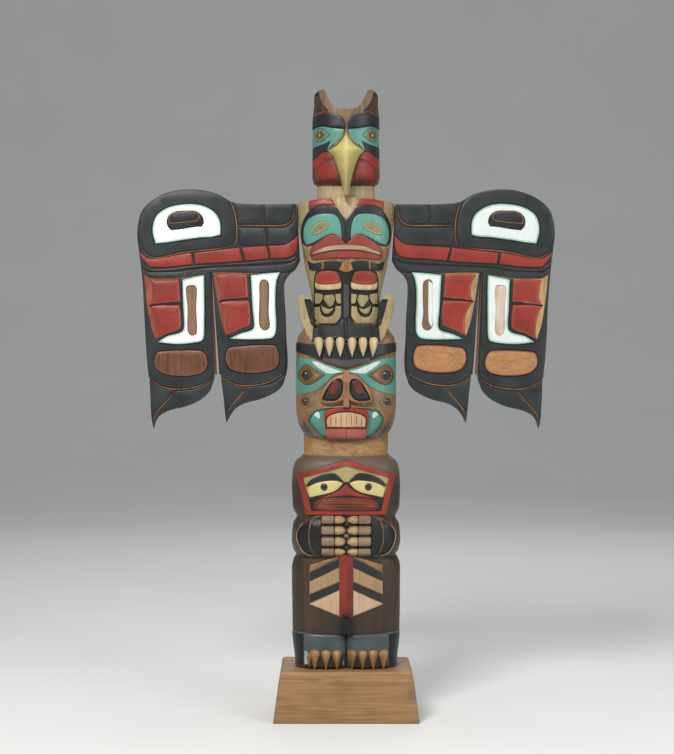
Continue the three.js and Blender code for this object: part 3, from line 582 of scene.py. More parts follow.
class Layer:
    """Closed shapes that are joined to the wood, or cut from it, in one go. They don't overlap each other."""

    def __init__(self, carving, surface=None):
        self.carving = carving
        self.surface = surface
        self.sheet = bmesh.new()
        self.worn = self.sheet.verts.layers.float.new("rim")

    def merge(self, part):
        """Adds a finished closed shape."""
        bmesh.ops.recalc_face_normals(part, faces=part.faces)
        mesh = bpy.data.meshes.new("part")
        part.to_mesh(mesh)
        part.free()
        self.sheet.from_mesh(mesh)
        bpy.data.meshes.remove(mesh)

    def sides(self, corners):
        """An outline given in shares, as one whole outline or as its left and right copies."""
        points = [self.surface.point(*corner[:2]) + tuple(corner[2:]) for corner in corners]
        if isinstance(self.surface, Board):
            return [points]
        mirrored = [(-p[0],) + tuple(p[1:]) for p in reversed(points)]
        if corners[0][0] == 0 and corners[-1][0] == 0:
            return [points + mirrored[1:-1]]
        return [points, mirrored]

    def panel(self, corners, low, high, paint, edge="line", rim=0.6, bands=(), crown=None, step=1.5,
              only=None, rims=None, floor=None, lean=None):
        """A field of even thickness over the wood, with rounded rims, coloured bands inside them and a crown.

        A lean of (height, rate) brings it forward below that height.
        """
        outlines = self.sides(corners)
        if only is not None:
            outlines = [outlines[only]]
        for outline in outlines:
            self.field(drawn(outline, step), low, high, paint, edge, rim, bands, crown, rims, floor, lean)

    def field(self, line, low, high, paint, edge="line", rim=0.6, bands=(), crown=None, rims=None,
              floor=None, lean=None):
        index = self.carving.index
        part = bmesh.new()
        worn = part.verts.layers.float.new("rim")
        verts = [part.verts.new((x, -low, z)) for x, z in line]
        under = part.faces.new(verts)
        made = bmesh.ops.extrude_face_region(part, geom=part.faces[:])
        top = [f for f in made["geom"] if isinstance(f, bmesh.types.BMFace)]
        bmesh.ops.translate(part, vec=(0, low - high + rim, 0), verts=top[0].verts[:])
        for face in part.faces:
            face.material_index = index(edge)
        under.material_index = index(floor or edge)
        worn_by = (1.0, 0.75, 0.3, 0.0)
        for vert in top[0].verts:
            vert[worn] = worn_by[0]
        inset = Inset(line)

        def nearest(spot):
            gaps = [(x - spot.x) ** 2 + (z - spot.z) ** 2 for x, z in line]
            return gaps.index(min(gaps))

        order = [nearest(vert.co) for vert in top[0].verts]
        total = 0.0

        def step_in(up):
            ring = bmesh.ops.inset_region(part, faces=top, thickness=0.0001, use_even_offset=False)["faces"]
            spots = inset.at(total)
            for vert, at in zip(top[0].verts, order):
                vert.co.y -= up
                if spots:
                    vert.co.x, vert.co.z = spots[at]
            return ring

        steps = [(0.134 * rim, 0.5 * rim), (0.366 * rim, 0.366 * rim), (0.5 * rim,
                                                                        0.134 * rim)] if rim else []
        for number, (inwards, up) in enumerate(steps):
            total += inwards
            for face in step_in(up):
                face.material_index = index(rims or paint)
            for vert in top[0].verts:
                vert[worn] = worn_by[number + 1]
        for width, up, band_paint in bands:
            total += width
            for face in step_in(up):
                face.material_index = index(band_paint)
        top[0].material_index = index(paint)
        for vert in top[0].verts:
            vert[worn] = 0.0
        xs = [p[0] for p in line]
        zs = [p[1] for p in line]
        level = top[0].verts[0].co.y
        bmesh.ops.remove_doubles(part, verts=part.verts, dist=0.0008)
        if crown:
            self.divide(part, xs, zs, crown[1] * 0.45)
            for vert in part.verts:
                if abs(vert.co.y - level) < 0.01:
                    share = min(1.0, distance_to(vert.co.x, vert.co.z, line) / crown[1])
                    vert.co.y -= crown[0] * math.sin(share * math.pi / 2)
        for x in self.surface.lines(min(zs), max(zs)):
            if min(xs) + 0.3 < x < max(xs) - 0.3:
                cut_across(part, 0, x)
        z = math.ceil((min(zs) + 0.3) / self.surface.grid) * self.surface.grid
        while z < max(zs) - 0.3:
            cut_across(part, 2, z)
            z += self.surface.grid
        bmesh.ops.triangulate(part, faces=part.faces[:])
        for vert in part.verts:
            out = -vert.co.y
            vert.co = self.surface.place(vert.co.x, vert.co.z, out)
            if lean and out > 0:
                vert.co.y -= max(0.0, lean[0] - vert.co.z) * lean[1]
        self.merge(part)

    @staticmethod
    def divide(part, xs, zs, gap):
        """Cuts a flat shape across and along at even gaps."""
        for axis, spots in ((0, xs), (2, zs)):
            at = min(spots) + gap
            while at < max(spots) - gap * 0.5:
                cut_across(part, axis, at)
                at += gap

    def skin(self, columns, rows, paint, place):
        """A closed skin: place(around, along) gives its points, and its two ends are filled."""
        part = bmesh.new()
        part.verts.layers.float.new("rim")
        bmesh.ops.create_grid(part, x_segments=columns, y_segments=rows, size=0.5)
        for vert in part.verts:
            vert.co = place((vert.co.x + 0.5) % 1.0 if vert.co.x < 0.4999 else 0.0, vert.co.y + 0.5)
        bmesh.ops.remove_doubles(part, verts=part.verts, dist=0.0005)
        ends = [edge for edge in part.edges if edge.is_boundary]
        bmesh.ops.holes_fill(part, edges=ends, sides=0)
        bmesh.ops.triangulate(part, faces=part.faces[:])
        for face in part.faces:
            face.material_index = self.carving.index(paint)
        self.merge(part)

    def ball(self, middle, radius, paint, stretch=(1, 1, 1), segments=28):
        part = bmesh.new()
        part.verts.layers.float.new("rim")
        bmesh.ops.create_uvsphere(part, u_segments=segments, v_segments=segments // 2, radius=radius)
        bmesh.ops.scale(part, vec=stretch, verts=part.verts)
        bmesh.ops.translate(part, vec=middle, verts=part.verts)
        for face in part.faces:
            face.material_index = self.carving.index(paint)
        self.merge(part)

    def line(self, points, width, paint, depth=None, tapered=True, rise=0.0):
        """A bar of round section along a line on the wood, to be cut as a groove or joined as a bead."""
        depth = depth or width / 2
        spots = [self.surface.place(x, z, rise) for x, z in points]
        above = [self.surface.place(x, z, rise + 1) for x, z in points]
        ups = [(top - spot).normalized() for top, spot in zip(above, spots)]
        count = len(spots) - 1

        def place(around, along):
            at = min(count, round(along * count))
            ahead = spots[min(count, at + 1)] - spots[max(0, at - 1)]
            across = ahead.normalized().cross(ups[at]).normalized()
            share = math.sin(math.pi * min(1.0, max(0.0, along))) ** 0.4 if tapered else 1.0
            share = max(share, 0.25)
            angle = 2 * math.pi * around
            aside = across * math.cos(angle) * width / 2
            return spots[at] + (aside + ups[at] * math.sin(angle) * depth) * share

        self.skin(6, count, paint, place)


# Finishes


class Value:
    """A shader socket that adds Math nodes when Python adds, multiplies or compares it."""

    def __init__(self, finish, socket):
        self.finish = finish
        self.socket = socket

    def maths(self, operation, first, second):
        return self.finish.node("ShaderNodeMath", {"operation": operation}, {0: first, 1: second})

    def __add__(self, other):
        return self.maths("ADD", self, other)

    def __sub__(self, other):
        return self.maths("SUBTRACT", self, other)

    def __mul__(self, other):
        return self.maths("MULTIPLY", self, other)

    __radd__ = __add__
    __rmul__ = __mul__

    def __rsub__(self, other):
        return self.maths("SUBTRACT", other, self)

    def larger(self, other):
        return self.maths("MAXIMUM", self, other)

    def between(self, low, high):
        """0 below low, 1 above high, and smooth between them."""
        settings = {"interpolation_type": "SMOOTHSTEP"}
        return self.finish.node("ShaderNodeMapRange", settings, {0: self, 1: low, 2: high, 3: 0.0, 4: 1.0})


class Finish:
    """A material with its nodes, in millimetres of the object's own coordinates."""

    def __init__(self, name):
        self.material = bpy.data.materials.new(name)
        self.material.use_nodes = True
        self.tree = self.material.node_tree
        self.shader = self.tree.nodes["Principled BSDF"]
        place = self.node("ShaderNodeTexCoord", {}, {}, "Object")
        self.place = self.node("ShaderNodeVectorMath", {"operation": "MULTIPLY"},
                               {0: place, 1: (1000, 1000, 1000)})

    def node(self, kind, settings, inputs, output=0):
        """Adds a node: its settings first, then the values or links of its sockets."""
        node = self.tree.nodes.new(kind)
        for name, setting in settings.items():
            if name == "stops":
                ramp = node.color_ramp
                for number, (position, colour) in enumerate(setting):
                    stop = ramp.elements[number] if number < 2 else ramp.elements.new(position)
                    stop.position = position
                    stop.color = (*colour, 1.0)
            else:
                setattr(node, name, setting)
        for key, value in inputs.items():
            if isinstance(value, Value):
                self.tree.links.new(value.socket, node.inputs[key])
            else:
                node.inputs[key].default_value = value
        return Value(self, node.outputs[output])

    def stretched(self, along):
        """The object's coordinates, squeezed so that a pattern draws out where a share is small."""
        return self.node("ShaderNodeVectorMath", {"operation": "MULTIPLY"}, {0: self.place, 1: along})

    def cloud(self, scale, detail=2.0, rough=0.55, along=None, bend=0.0):
        place = self.stretched(along) if along else self.place
        inputs = {"Vector": place, "Scale": scale, "Detail": detail, "Roughness": rough, "Distortion": bend}
        return self.node("ShaderNodeTexNoise", {}, inputs, "Fac")

    def mix(self, share, first, second, blend="MIX"):
        """Mixes two colours."""
        settings = {"data_type": "RGBA", "blend_type": blend}
        first = first if isinstance(first, Value) else (*first, 1.0)
        second = second if isinstance(second, Value) else (*second, 1.0)
        return self.node("ShaderNodeMix", settings, {0: share, 6: first, 7: second}, 2)

    def worn(self):
        return self.node("ShaderNodeAttribute", {"attribute_name": "rim"}, {}, "Fac")

    def stained(self, base):
        """Darkens a colour with painted shade, in the hollows marked for it."""
        stain = self.node("ShaderNodeAttribute", {"attribute_name": "stain"}, {}, "Fac")
        return self.mix(stain, base, linear(16, 16, 16))

    def bumped(self, height, distance, strength=1.0):
        inputs = {"Height": height, "Distance": distance, "Strength": strength}
        return self.node("ShaderNodeBump", {}, inputs, "Normal")

    def set(self, **sockets):
        for name, value in sockets.items():
            socket = self.shader.inputs[name.replace("_", " ").title().replace("Ior", "IOR")]
            if isinstance(value, Value):
                self.tree.links.new(value.socket, socket)
            else:
                socket.default_value = value
        return self.material


def shade(colour, amount):
    return tuple(min(1.0, c * amount) for c in colour)


# How much of a colour's light the pieces give back under this stage's lights
TONE = 0.74


def paint(name, colour, gloss=0.42, wear=0.5, mottle=0.35, wood=(0.30, 0.16, 0.07), brush=(1.0, 1.0, 0.22),
          coat=0.15):
    """Hand-brushed paint: mottled, streaked along the brush, thinner at the rims and over the grain."""
    finish = Finish(name)
    colour = shade(colour, TONE)
    wood = shade(wood, TONE)
    patches = finish.cloud(0.045, 3.0)
    streaks = finish.cloud(0.55, 3.0, 0.6, brush, 0.4)
    fine = finish.cloud(2.2, 2.0, 0.6)
    base = finish.mix(patches.between(0.3, 0.72), shade(colour, 1 - mottle),
                      shade(colour, 1 + mottle * 0.7))
    base = finish.mix(streaks.between(0.52, 0.8) * 0.35, base, shade(colour, 0.62))
    base = finish.mix(streaks.between(0.48, 0.2) * 0.3, base, shade(colour, 1.35))
    pits = finish.cloud(0.9, 4.0, 0.7)
    edge = finish.worn() * pits.between(0.42, 0.62) * wear
    flecks = pits.between(0.69, 0.74) * wear * 0.5
    base = finish.mix(edge.larger(flecks), base, wood)
    # Painted shade darkens the paint in the hollows.
    base = finish.stained(base)
    height = streaks * 0.6 + fine * 0.25 + patches * 0.8
    return finish.set(
        base_color=base,
        roughness=streaks * 0.22 + fine * 0.12 + (gloss - 0.15),
        normal=finish.bumped(height, 0.00055, 0.6),
        specular_ior_level=0.3,
        coat_weight=coat * 0.5,
        coat_roughness=0.2,
    )


def wood(name, light, dark, along=(1.0, 1.0, 0.045), gloss=0.5, bold=1.0, rings=0.16, coat=0.08,
         crown=None):
    """Stained bare wood: growth lines and pores along the grain, and shallow knife cuts.

    A crown of (low, high, colour) changes its colour between two heights in millimetres.
    """
    finish = Finish(name)
    light = shade(light, TONE)
    dark = shade(dark, TONE)
    drift = finish.cloud(0.02, 2.0, 0.5, along, 0.8)
    lines = finish.cloud(rings, 3.0, 0.6, along, 1.2)
    pores = finish.cloud(1.6, 2.0, 0.7, along)
    patches = finish.cloud(0.03, 3.0)
    cuts = finish.node("ShaderNodeTexVoronoi", {"feature": "SMOOTH_F1"}, {
        "Vector": finish.stretched((1.0, 1.0, 0.45)), "Scale": 0.11, "Smoothness": 0.5}, "Distance")
    base = finish.mix(lines.between(0.35, 0.66), light, dark)
    base = finish.mix(drift.between(0.35, 0.7) * 0.4, base, shade(dark, 0.9))
    base = finish.mix(pores.between(0.56, 0.7) * 0.45 * bold, base, shade(dark, 0.55))
    base = finish.mix(patches.between(0.4, 0.75) * 0.35, base, shade(light, 1.15))
    if crown:
        height_up = finish.node("ShaderNodeSeparateXYZ", {}, {0: finish.place}, "Z")
        base = finish.mix(height_up.between(crown[0], crown[1]) * 0.85, base, shade(crown[2], TONE))
    base = finish.mix(finish.worn() * 0.3, base, shade(light, 1.1))
    # Painted shade darkens the wood in the hollows.
    base = finish.stained(base)
    height = lines * 0.35 + pores * -0.3 + cuts * 0.6
    return finish.set(
        base_color=base,
        roughness=lines * 0.2 + pores * 0.2 + (gloss - 0.2),
        normal=finish.bumped(height, 0.0009, 0.55),
        specular_ior_level=0.36,
        coat_weight=coat * 0.5,
        coat_roughness=0.25,
    )


WING_BOTH_LINES = ([(0.421, 0.95), (0.408, 0.925), (0.394, 0.886), (0.386, 0.85), (0.384, 0.82),
                    (0.388, 0.785), (0.4, 0.765)], [(0.376, 0.848), (0.2, 0.848), (0.1, 0.85),
                                                    (0.06, 0.862), (0.04, 0.885), (0.03, 0.93)],
                   [(0.535, 0.652), (0.42, 0.65), (0.31, 0.648), (0.115, 0.657)],
                   [(0.922, 0.207), (0.85, 0.177), (0.765, 0.165), (0.63, 0.176), (0.54, 0.207)],
                   [(0.481, 0.217), (0.408, 0.188), (0.325, 0.18), (0.2, 0.193), (0.093, 0.231)],)
WING_CROSS_LINES = ([(0.447, 0.758), (0.528, 0.75), (0.626, 0.744), (0.724, 0.735), (0.812, 0.722),
                     (0.879, 0.713), (0.93, 0.719), (0.97, 0.745)], [(0.766, 0.158), (0.82, 0.113),
                                                                     (0.89, 0.056), (0.9, 0.03)],
                    [(0.325, 0.175), (0.365, 0.138), (0.427, 0.09), (0.447, 0.06)],)
WING_RIM_LINE = [(0.955, 0.645), (0.93, 0.63), (0.895, 0.6245), (0.8, 0.6245), (0.728, 0.6265),
                 (0.65, 0.636), (0.585, 0.6445)]


def wing_finishes(side, colours):
    """The left wing's ovals are dark and streaked upright, and the right wing's are light."""
    if side < 0:
        oval = wood("wing_oval_dark", linear(128, 84, 58), linear(82, 52, 38), (1.0, 1.0, 0.06), 0.3, 0.8,
                    0.5, 0.3)
        cusp = wood("wing_cusp_dark", linear(160, 84, 62), linear(118, 56, 44), (1.0, 1.0, 0.12), 0.45)
        white = shade(linear(246, 248, 246), 1.08)
    else:
        oval = wood("wing_oval_light", linear(188, 138, 90), linear(162, 112, 68), (0.4, 1.0, 1.0), 0.4,
                    0.5, 0.3)
        cusp = wood("wing_cusp_light", linear(202, 167, 118), linear(162, 122, 80), (1.0, 1.0, 0.12), 0.45)
        white = linear(228, 236, 231)
    return {"black": paint("wing_black", tuple(colours.black), 0.34, 0.25, 0.3, coat=0.25),
            "red": paint("wing_red", tuple(colours.red), 0.38, 0.3, 0.2, brush=(0.3, 1, 1)),
            # A lighter red round the rims of the red fields: a painted highlight.
            "red_light": paint("wing_red_rim", linear(168, 80, 56), 0.34, 0.4, 0.2),
            "white": paint("wing_white", white, 0.4, 0.05, 0.05, wood=linear(170, 190, 178)),
            "teal": paint("wing_teal", linear(86, 150, 128), 0.4, 0.4, 0.25), "oval": oval,
            "rust": wood("wing_oval_rim", linear(158, 88, 58), linear(112, 60, 40), (1.0, 1.0, 0.3), 0.45),
            "slot": wood("wing_slot", linear(150, 118, 87), linear(116, 87, 62), (1.0, 1.0, 0.05), 0.5,
                         0.4), "slot_pale": wood("wing_slot_rubbed", linear(226, 216, 206),
                                                 linear(196, 166, 136), (0.6, 1.0, 0.12), 0.45, 0.2),
            # Bare wood made lighter for the slit's shaded walls: painted light.
            "bare": wood("wing_bare_wood", linear(212, 142, 80), linear(164, 104, 56), (1.0, 1.0, 0.1),
                         0.5), "gold": wood("wing_cut_line", linear(184, 126, 72), linear(140, 90, 48),
                                            (1.0, 1.0, 0.3), 0.5, 0.4), "line": paint("wing_dark_line",
                                                                                      linear(30, 32, 33),
                                                                                      0.5, 0.05, 0.3),
            "cusp": cusp, "back": wood("wing_back", linear(120, 92, 66), linear(78, 58, 42),
                                       (1.0, 1.0, 0.045), 0.6, 1.3),}


def carve_wing(name, side, sizes, colours):
    """One wing board with its raised fields, from its plain outline up."""
    wing = Carving(name, wing_finishes(side, colours))
    board = Board(side)
    cuts = WING_CUTS
    relief = sizes.wing_relief / MILLIMETRE
    level = relief * 0.75

    base = Layer(wing, board)
    base.panel(cuts["outline"], -11.0, 0.0, "line", edge="black", rim=1.0, rims="black")
    for face in base.sheet.faces:
        if face.normal.y > 0.8:
            face.material_index = wing.index("back")
    wing.apply(base)

    fields = Layer(wing, board)
    for key in ("outer_frame", "inner_frame"):
        fields.panel(cuts[key], -1.0, level, "black", rim=0.9)
    fields.panel(cuts["ovoid"], -1.0, level, "black", rim=1.2)
    tips = ("outer_tip_a", "outer_tip_b", "inner_tip_a", "inner_tip_b")
    for key in ("sill", "sill_upper", *tips, "arm_a", "arm_b"):
        fields.panel(cuts[key], -1.0, level, "black", rim=0.8)
    if side < 0:
        for key in ("arm_c", "arm_d"):
            fields.panel(cuts[key], -1.0, level, "black", rim=0.8)
    else:
        joined = [cuts["arm_c"][0], *cuts["arm_d"][1:-1], cuts["arm_d"][-1], *cuts["arm_c"][3:]]
        fields.panel(joined, -1.0, level, "black", rim=0.8)
    reds = [cuts[key] for key in ("band1", "band2", "band3", "band4")]
    if side > 0:
        joined = [reds[2][0], *reds[3][1:-1], *reds[2][2:]]
        reds = [*reds[:2], joined]
    for outline in reds:
        fields.panel(outline, -1.0, relief * 0.8, "red", rim=0.9)
    wing.apply(fields)

    for group in (WING_BOTH_LINES, WING_CROSS_LINES):
        threads = Layer(wing, board)
        for points in group:
            line = strung([board.point(*point) for point in points], 2.0)
            threads.line(line, 0.9, "gold", depth=0.5, rise=level * 0.62)
        wing.apply(threads)

    # A dark groove round the white fields and the ovals: its near-black paint is painted shadow around them.
    moats = Layer(wing, board)
    for key in ("white", "outer_white", "inner_white", "outer_oval", "inner_oval"):
        loop = drawn([board.point(*corner[:2]) + tuple(corner[2:]) for corner in cuts[key]], 2.0)
        moats.line(loop, 2.0, "line", depth=0.8, tapered=False, rise=level)
    wing.apply(moats, "DIFFERENCE")

    upper = Layer(wing, board)
    fringe = [(0.35, 0.0, "teal"), (0.5, 0.0, "white"), (0.4, 0.0, "teal"), (0.2, 0.0, "white")]
    upper.panel(cuts["white"], level - 1.0, level + 0.5, "white", rim=0.6, rims="teal", bands=fringe)
    for feather in ("outer", "inner"):
        upper.panel(cuts[feather + "_white"], level - 1.0, level + 0.5, "white", rim=0.6, rims="teal",
                    bands=fringe)
        upper.panel(cuts[feather + "_oval"], level - 1.0, level + 0.5, "oval", rim=0.6, rims="rust",
                    bands=[(0.6, 0.0, "rust")], crown=(0.8, 6.0))
        upper.panel(cuts[feather + "_cusp"], level - 0.6, level + 0.35, "cusp", rim=0.5)
    wing.apply(upper)

    reds = Layer(wing, board)
    for feather in ("outer", "inner"):
        for number in ("1", "2"):
            # Each red field's rim band is a painted highlight.
            reds.panel(cuts[feather + "_red" + number], level - 0.3, level + 0.9, "red", rim=0.8,
                       bands=[(0.8, 0.12, "red_light")], crown=(0.9, 5.0))
    reds.panel(cuts["eye"], level, level + 0.9, "line", edge="teal", rim=0.5, rims="line", step=1.0)
    wing.apply(reds)

    rim = Layer(wing, board)
    rim.panel(cuts["eye_rim"], level + 0.5, level + 1.2, "line", rim=0.7, rims="gold", step=1.0)
    wing.apply(rim)
    lid = Layer(wing, board)
    lid.panel(cuts["eye_lid"], level + 0.9, level + 1.7, "black", rim=0.5, rims="black", step=1.0)
    wing.apply(lid)

    rims = Layer(wing, board)
    rims.line(strung([board.point(*point) for point in WING_RIM_LINE], 2.0), 0.9, "gold", depth=0.7,
              rise=level + 0.2)
    wing.apply(rims)

    gaps = Layer(wing, board)
    outer = [(0.925, 0.513), (0.83, 0.52), (0.728, 0.523)]
    inner = [(0.497, 0.531), (0.4, 0.538), (0.303, 0.541)]
    for path in (outer, inner):
        gaps.line(strung([board.point(*point) for point in path], 2.0), 2.4, "line", depth=1.0,
                  tapered=False, rise=level + 0.5)
    wing.apply(gaps, "DIFFERENCE")

    slots = Layer(wing, board)
    for feather in ("outer", "inner"):
        floor = "slot_pale" if side > 0 and feather == "outer" else "slot"
        slots.panel(cuts[feather + "_slot"], level - 0.5, level + 3.0, "slot", edge=floor, rim=0.0,
                    step=1.0)
    wing.apply(slots, "DIFFERENCE")
    if side > 0:
        rubbed = Layer(wing, board)
        rubbed.panel([(0.22, 0.617, SHARP), (0.251, 0.6), (0.251, 0.45), (0.238, 0.424, SHARP),
                      (0.222, 0.45), (0.22, 0.53)], level - 1.2, level + 0.1, "white", edge="slot", rim=0.4,
                     step=1.2)
        wing.apply(rubbed)
        crack = Layer(wing, board)
        crack.line([board.point(0.824, t) for t in (0.935, 0.95, 0.965, 0.98)], 1.2, "line", rise=level)
        wing.apply(crack, "DIFFERENCE")

    slit = Layer(wing, board)

    def wedge(around, along):
        t = 0.19 + (0.64 - 0.19) * along
        middle = 0.5065 + 0.0385 * along
        front = 0.0185 - 0.011 * along
        back = 0.007 - 0.005 * along
        corner = int(around * 4 + 0.001) % 4
        share = around * 4 - corner
        turned = 0.006
        spots = ((-front, 6.0), (front, 6.0), (back - turned, -14.0), (-back - turned, -14.0),
                 (-front, 6.0))
        s = middle + spots[corner][0] + (spots[corner + 1][0] - spots[corner][0]) * share
        out = spots[corner][1] + (spots[corner + 1][1] - spots[corner][1]) * share
        return board.place(*board.point(s, t), out)

    # The slit's walls take the lightened bare wood, painted light on their shade.
    slit.skin(4, 20, "bare", wedge)
    wing.apply(slit, "DIFFERENCE")
    return wing.finish(0.25)


def carve_base(name, sizes, colours):
    """The block: six sawn faces that lean in, with planed edges and a chipped upper rim."""
    plain = tuple(colours.base)
    block = Carving(name, {
        "side": wood("base_side", plain, shade(plain, 0.62), (0.05, 0.6, 1.0), 0.5, 0.8, 0.3),
        "top": wood("base_top", shade(plain, 1.15), shade(plain, 0.8), (0.05, 0.5, 1.0), 0.5, 0.8),
    })
    width = sizes.base_width / MILLIMETRE
    depth = sizes.base_depth / MILLIMETRE
    height = sizes.base_height / MILLIMETRE
    lean = sizes.base_lean / MILLIMETRE
    layer = Layer(block)
    part = bmesh.new()
    part.verts.layers.float.new("rim")
    bmesh.ops.create_cube(part, size=1.0)
    low, high = width / 2, width / 2 - lean
    low_depth, high_depth = depth / 2, depth / 2 - lean
    for vert in part.verts:
        upper = vert.co.z > 0
        vert.co.x = math.copysign(high if upper else low, vert.co.x)
        vert.co.y = math.copysign(high_depth if upper else low_depth, vert.co.y)
        vert.co.z = height if upper else 0.0
    rims = [e for e in part.edges if all(v.co.z > 1 for v in e.verts)]
    bmesh.ops.bevel(part, geom=rims, offset=3.2, segments=3, profile=0.5, affect="EDGES", material=-1)
    others = [e for e in part.edges if e.calc_face_angle(0) > 0.5]
    bmesh.ops.bevel(part, geom=others, offset=1.1, segments=2, profile=0.5, affect="EDGES", material=-1)
    for axis, numbers, gap in ((0, range(-17, 18), 4.0), (1, range(-12, 13), 4.0), (2, range(1, 16), 3.0)):
        for number in numbers:
            cut_across(part, axis, number * gap)
    for face in part.faces:
        face.material_index = block.index("top" if face.normal.z > 0.4 else "side")
    for vert in part.verts:
        if vert.co.z > 4:
            rough = noise.noise(vert.co * 0.06) * 0.7 + noise.noise(vert.co * 0.22) * 0.3
            near_rim = max(0.0, 1 - (height - vert.co.z) / 9)
            chipped = (rough * 0.5 + 0.5) * near_rim
            vert.co.x -= math.copysign(1, vert.co.x) * chipped * 1.2 * min(1, abs(vert.co.x) / 40)
            vert.co.y -= math.copysign(1, vert.co.y) * chipped * 1.0 * min(1, abs(vert.co.y) / 30)
            vert.co.z += noise.noise(vert.co * 0.03) * 0.35 * near_rim
    layer.merge(part)
    block.apply(layer)
    return block.finish(0.0, 50.0)


# Rows of a figure's form: [share of its height, share of its half width, share of its front depth, roundness]
BEAR_ROWS = [[0, 0.93, 0.78, 3.2], [0.16, 0.985, 0.87, 3], [0.46, 1, 0.92, 3], [0.505, 0.97, 0.92, 3],
             [0.525, 0.91, 0.9, 3], [0.555, 0.975, 0.95, 3], [0.612, 1, 1, 3], [0.675, 0.975, 1, 3],
             [0.708, 0.905, 0.93, 3], [0.75, 0.98, 0.96, 2.8], [0.85, 1, 1, 2.8], [0.935, 0.98, 0.98, 2.8],
             [0.975, 0.92, 0.93, 2.7], [1, 0.8, 0.82, 2.6],]
LOWER_NECK_ROWS = [[0, 1, 1, 2.4], [1, 1, 1, 2.4]]
UPPER_NECK_ROWS = [[0, 1.02, 1, 2.2], [1, 0.98, 1, 2.2]]
MASK_ROWS = [[0, 0.76, 0.86, 2.5], [0.035, 0.82, 0.94, 2.6], [0.16, 0.955, 1, 2.7], [0.32, 1, 1, 2.8],
             [0.88, 0.995, 0.98, 2.7], [0.98, 0.96, 0.92, 2.6], [1.055, 0.86, 0.8, 2.5],]
THUNDERBIRD_ROWS = [
    [-0.01, 0.66, 0.82, 2.6], [0.26, 0.7, 0.86, 2.6], [0.54, 0.856, 0.96, 2.6], [0.975, 0.995, 1, 2.6],
    [1, 0.965, 0.94, 2.6],
]
JAW_ROWS = [[0, 0.845, 0.7, 2.1], [0.35, 0.86, 0.78, 2.1], [0.8, 0.91, 0.93, 2.1], [1, 0.93, 0.94, 2.1]]
EAGLE_ROWS = [
    [0, 0.96, 0.94, 2.1], [0.06, 1, 1, 2.1], [1, 0.99, 0.97, 2.1], [1.34, 0.97, 0.86, 2.1],
]

# The beak: [share of the eagle's height, share of its half width, share of its front depth]
BEAK_ROWS = [
    [-0.305, 0.03, 1.36], [-0.2, 0.085, 1.5], [0, 0.17, 1.68], [0.17, 0.276, 1.77], [0.282, 0.362, 1.78],
    [0.37, 0.49, 1.72], [0.405, 0.56, 1.66], [0.457, 0.386, 1.56], [0.565, 0.15, 1.32], [0.682, 0.02, 1.06],
]


# Painted shade in the dark hollows between legs, fingers and figures: [x, y, z, reach across, reach along,
# reach up, strength], in millimetres
POLE_STAINS = [
    [0, -30, 91, 10, 14, 9, 1.0], [0, -34, 55, 46, 4.5, 7, 0.55], [-41, -20, 283, 11, 16, 8, 0.85],
    [41, -20, 283, 11, 16, 8, 0.85], [0, -36, 191.3, 27, 3.2, 1.3, 0.8], [0, -36, 180.7, 27, 3.2, 1.3, 0.8],
    [0, -36, 169.3, 27, 3.2, 1.3, 0.8], [0, -25, 272, 36, 10, 3.5, 0.6], [0, -20, 526, 26, 12, 4.5, 0.55],
    [0, -30, 368, 30, 4.5, 6, 0.7], [-50, -14, 212, 6, 16, 5, 0.6], [50, -14, 212, 6, 16, 5, 0.6],
    [0, -36, 200, 3, 8, 3, 0.6], [0, -36, 189, 3, 8, 3, 0.5], [0, -27, 98, 6.5, 14, 10, 1.0],
    [0, -27, 85, 7.5, 14, 8, 1.0],
]


# Behind this the log is bare, and below this height the eagle's head is its red jaw.
BACK_FROM = 9.5
JAW_TOP = 554.0


class Slab(Figure):
    """A figure's own shares, but straight through it from front to back."""

    def __init__(self, figure):
        self.__dict__.update(figure.__dict__)
        self.grid = 12.0

    def place(self, x, z, out):
        return Vector((x, -out, z))

    def lines(self, low=0, high=0):
        return []


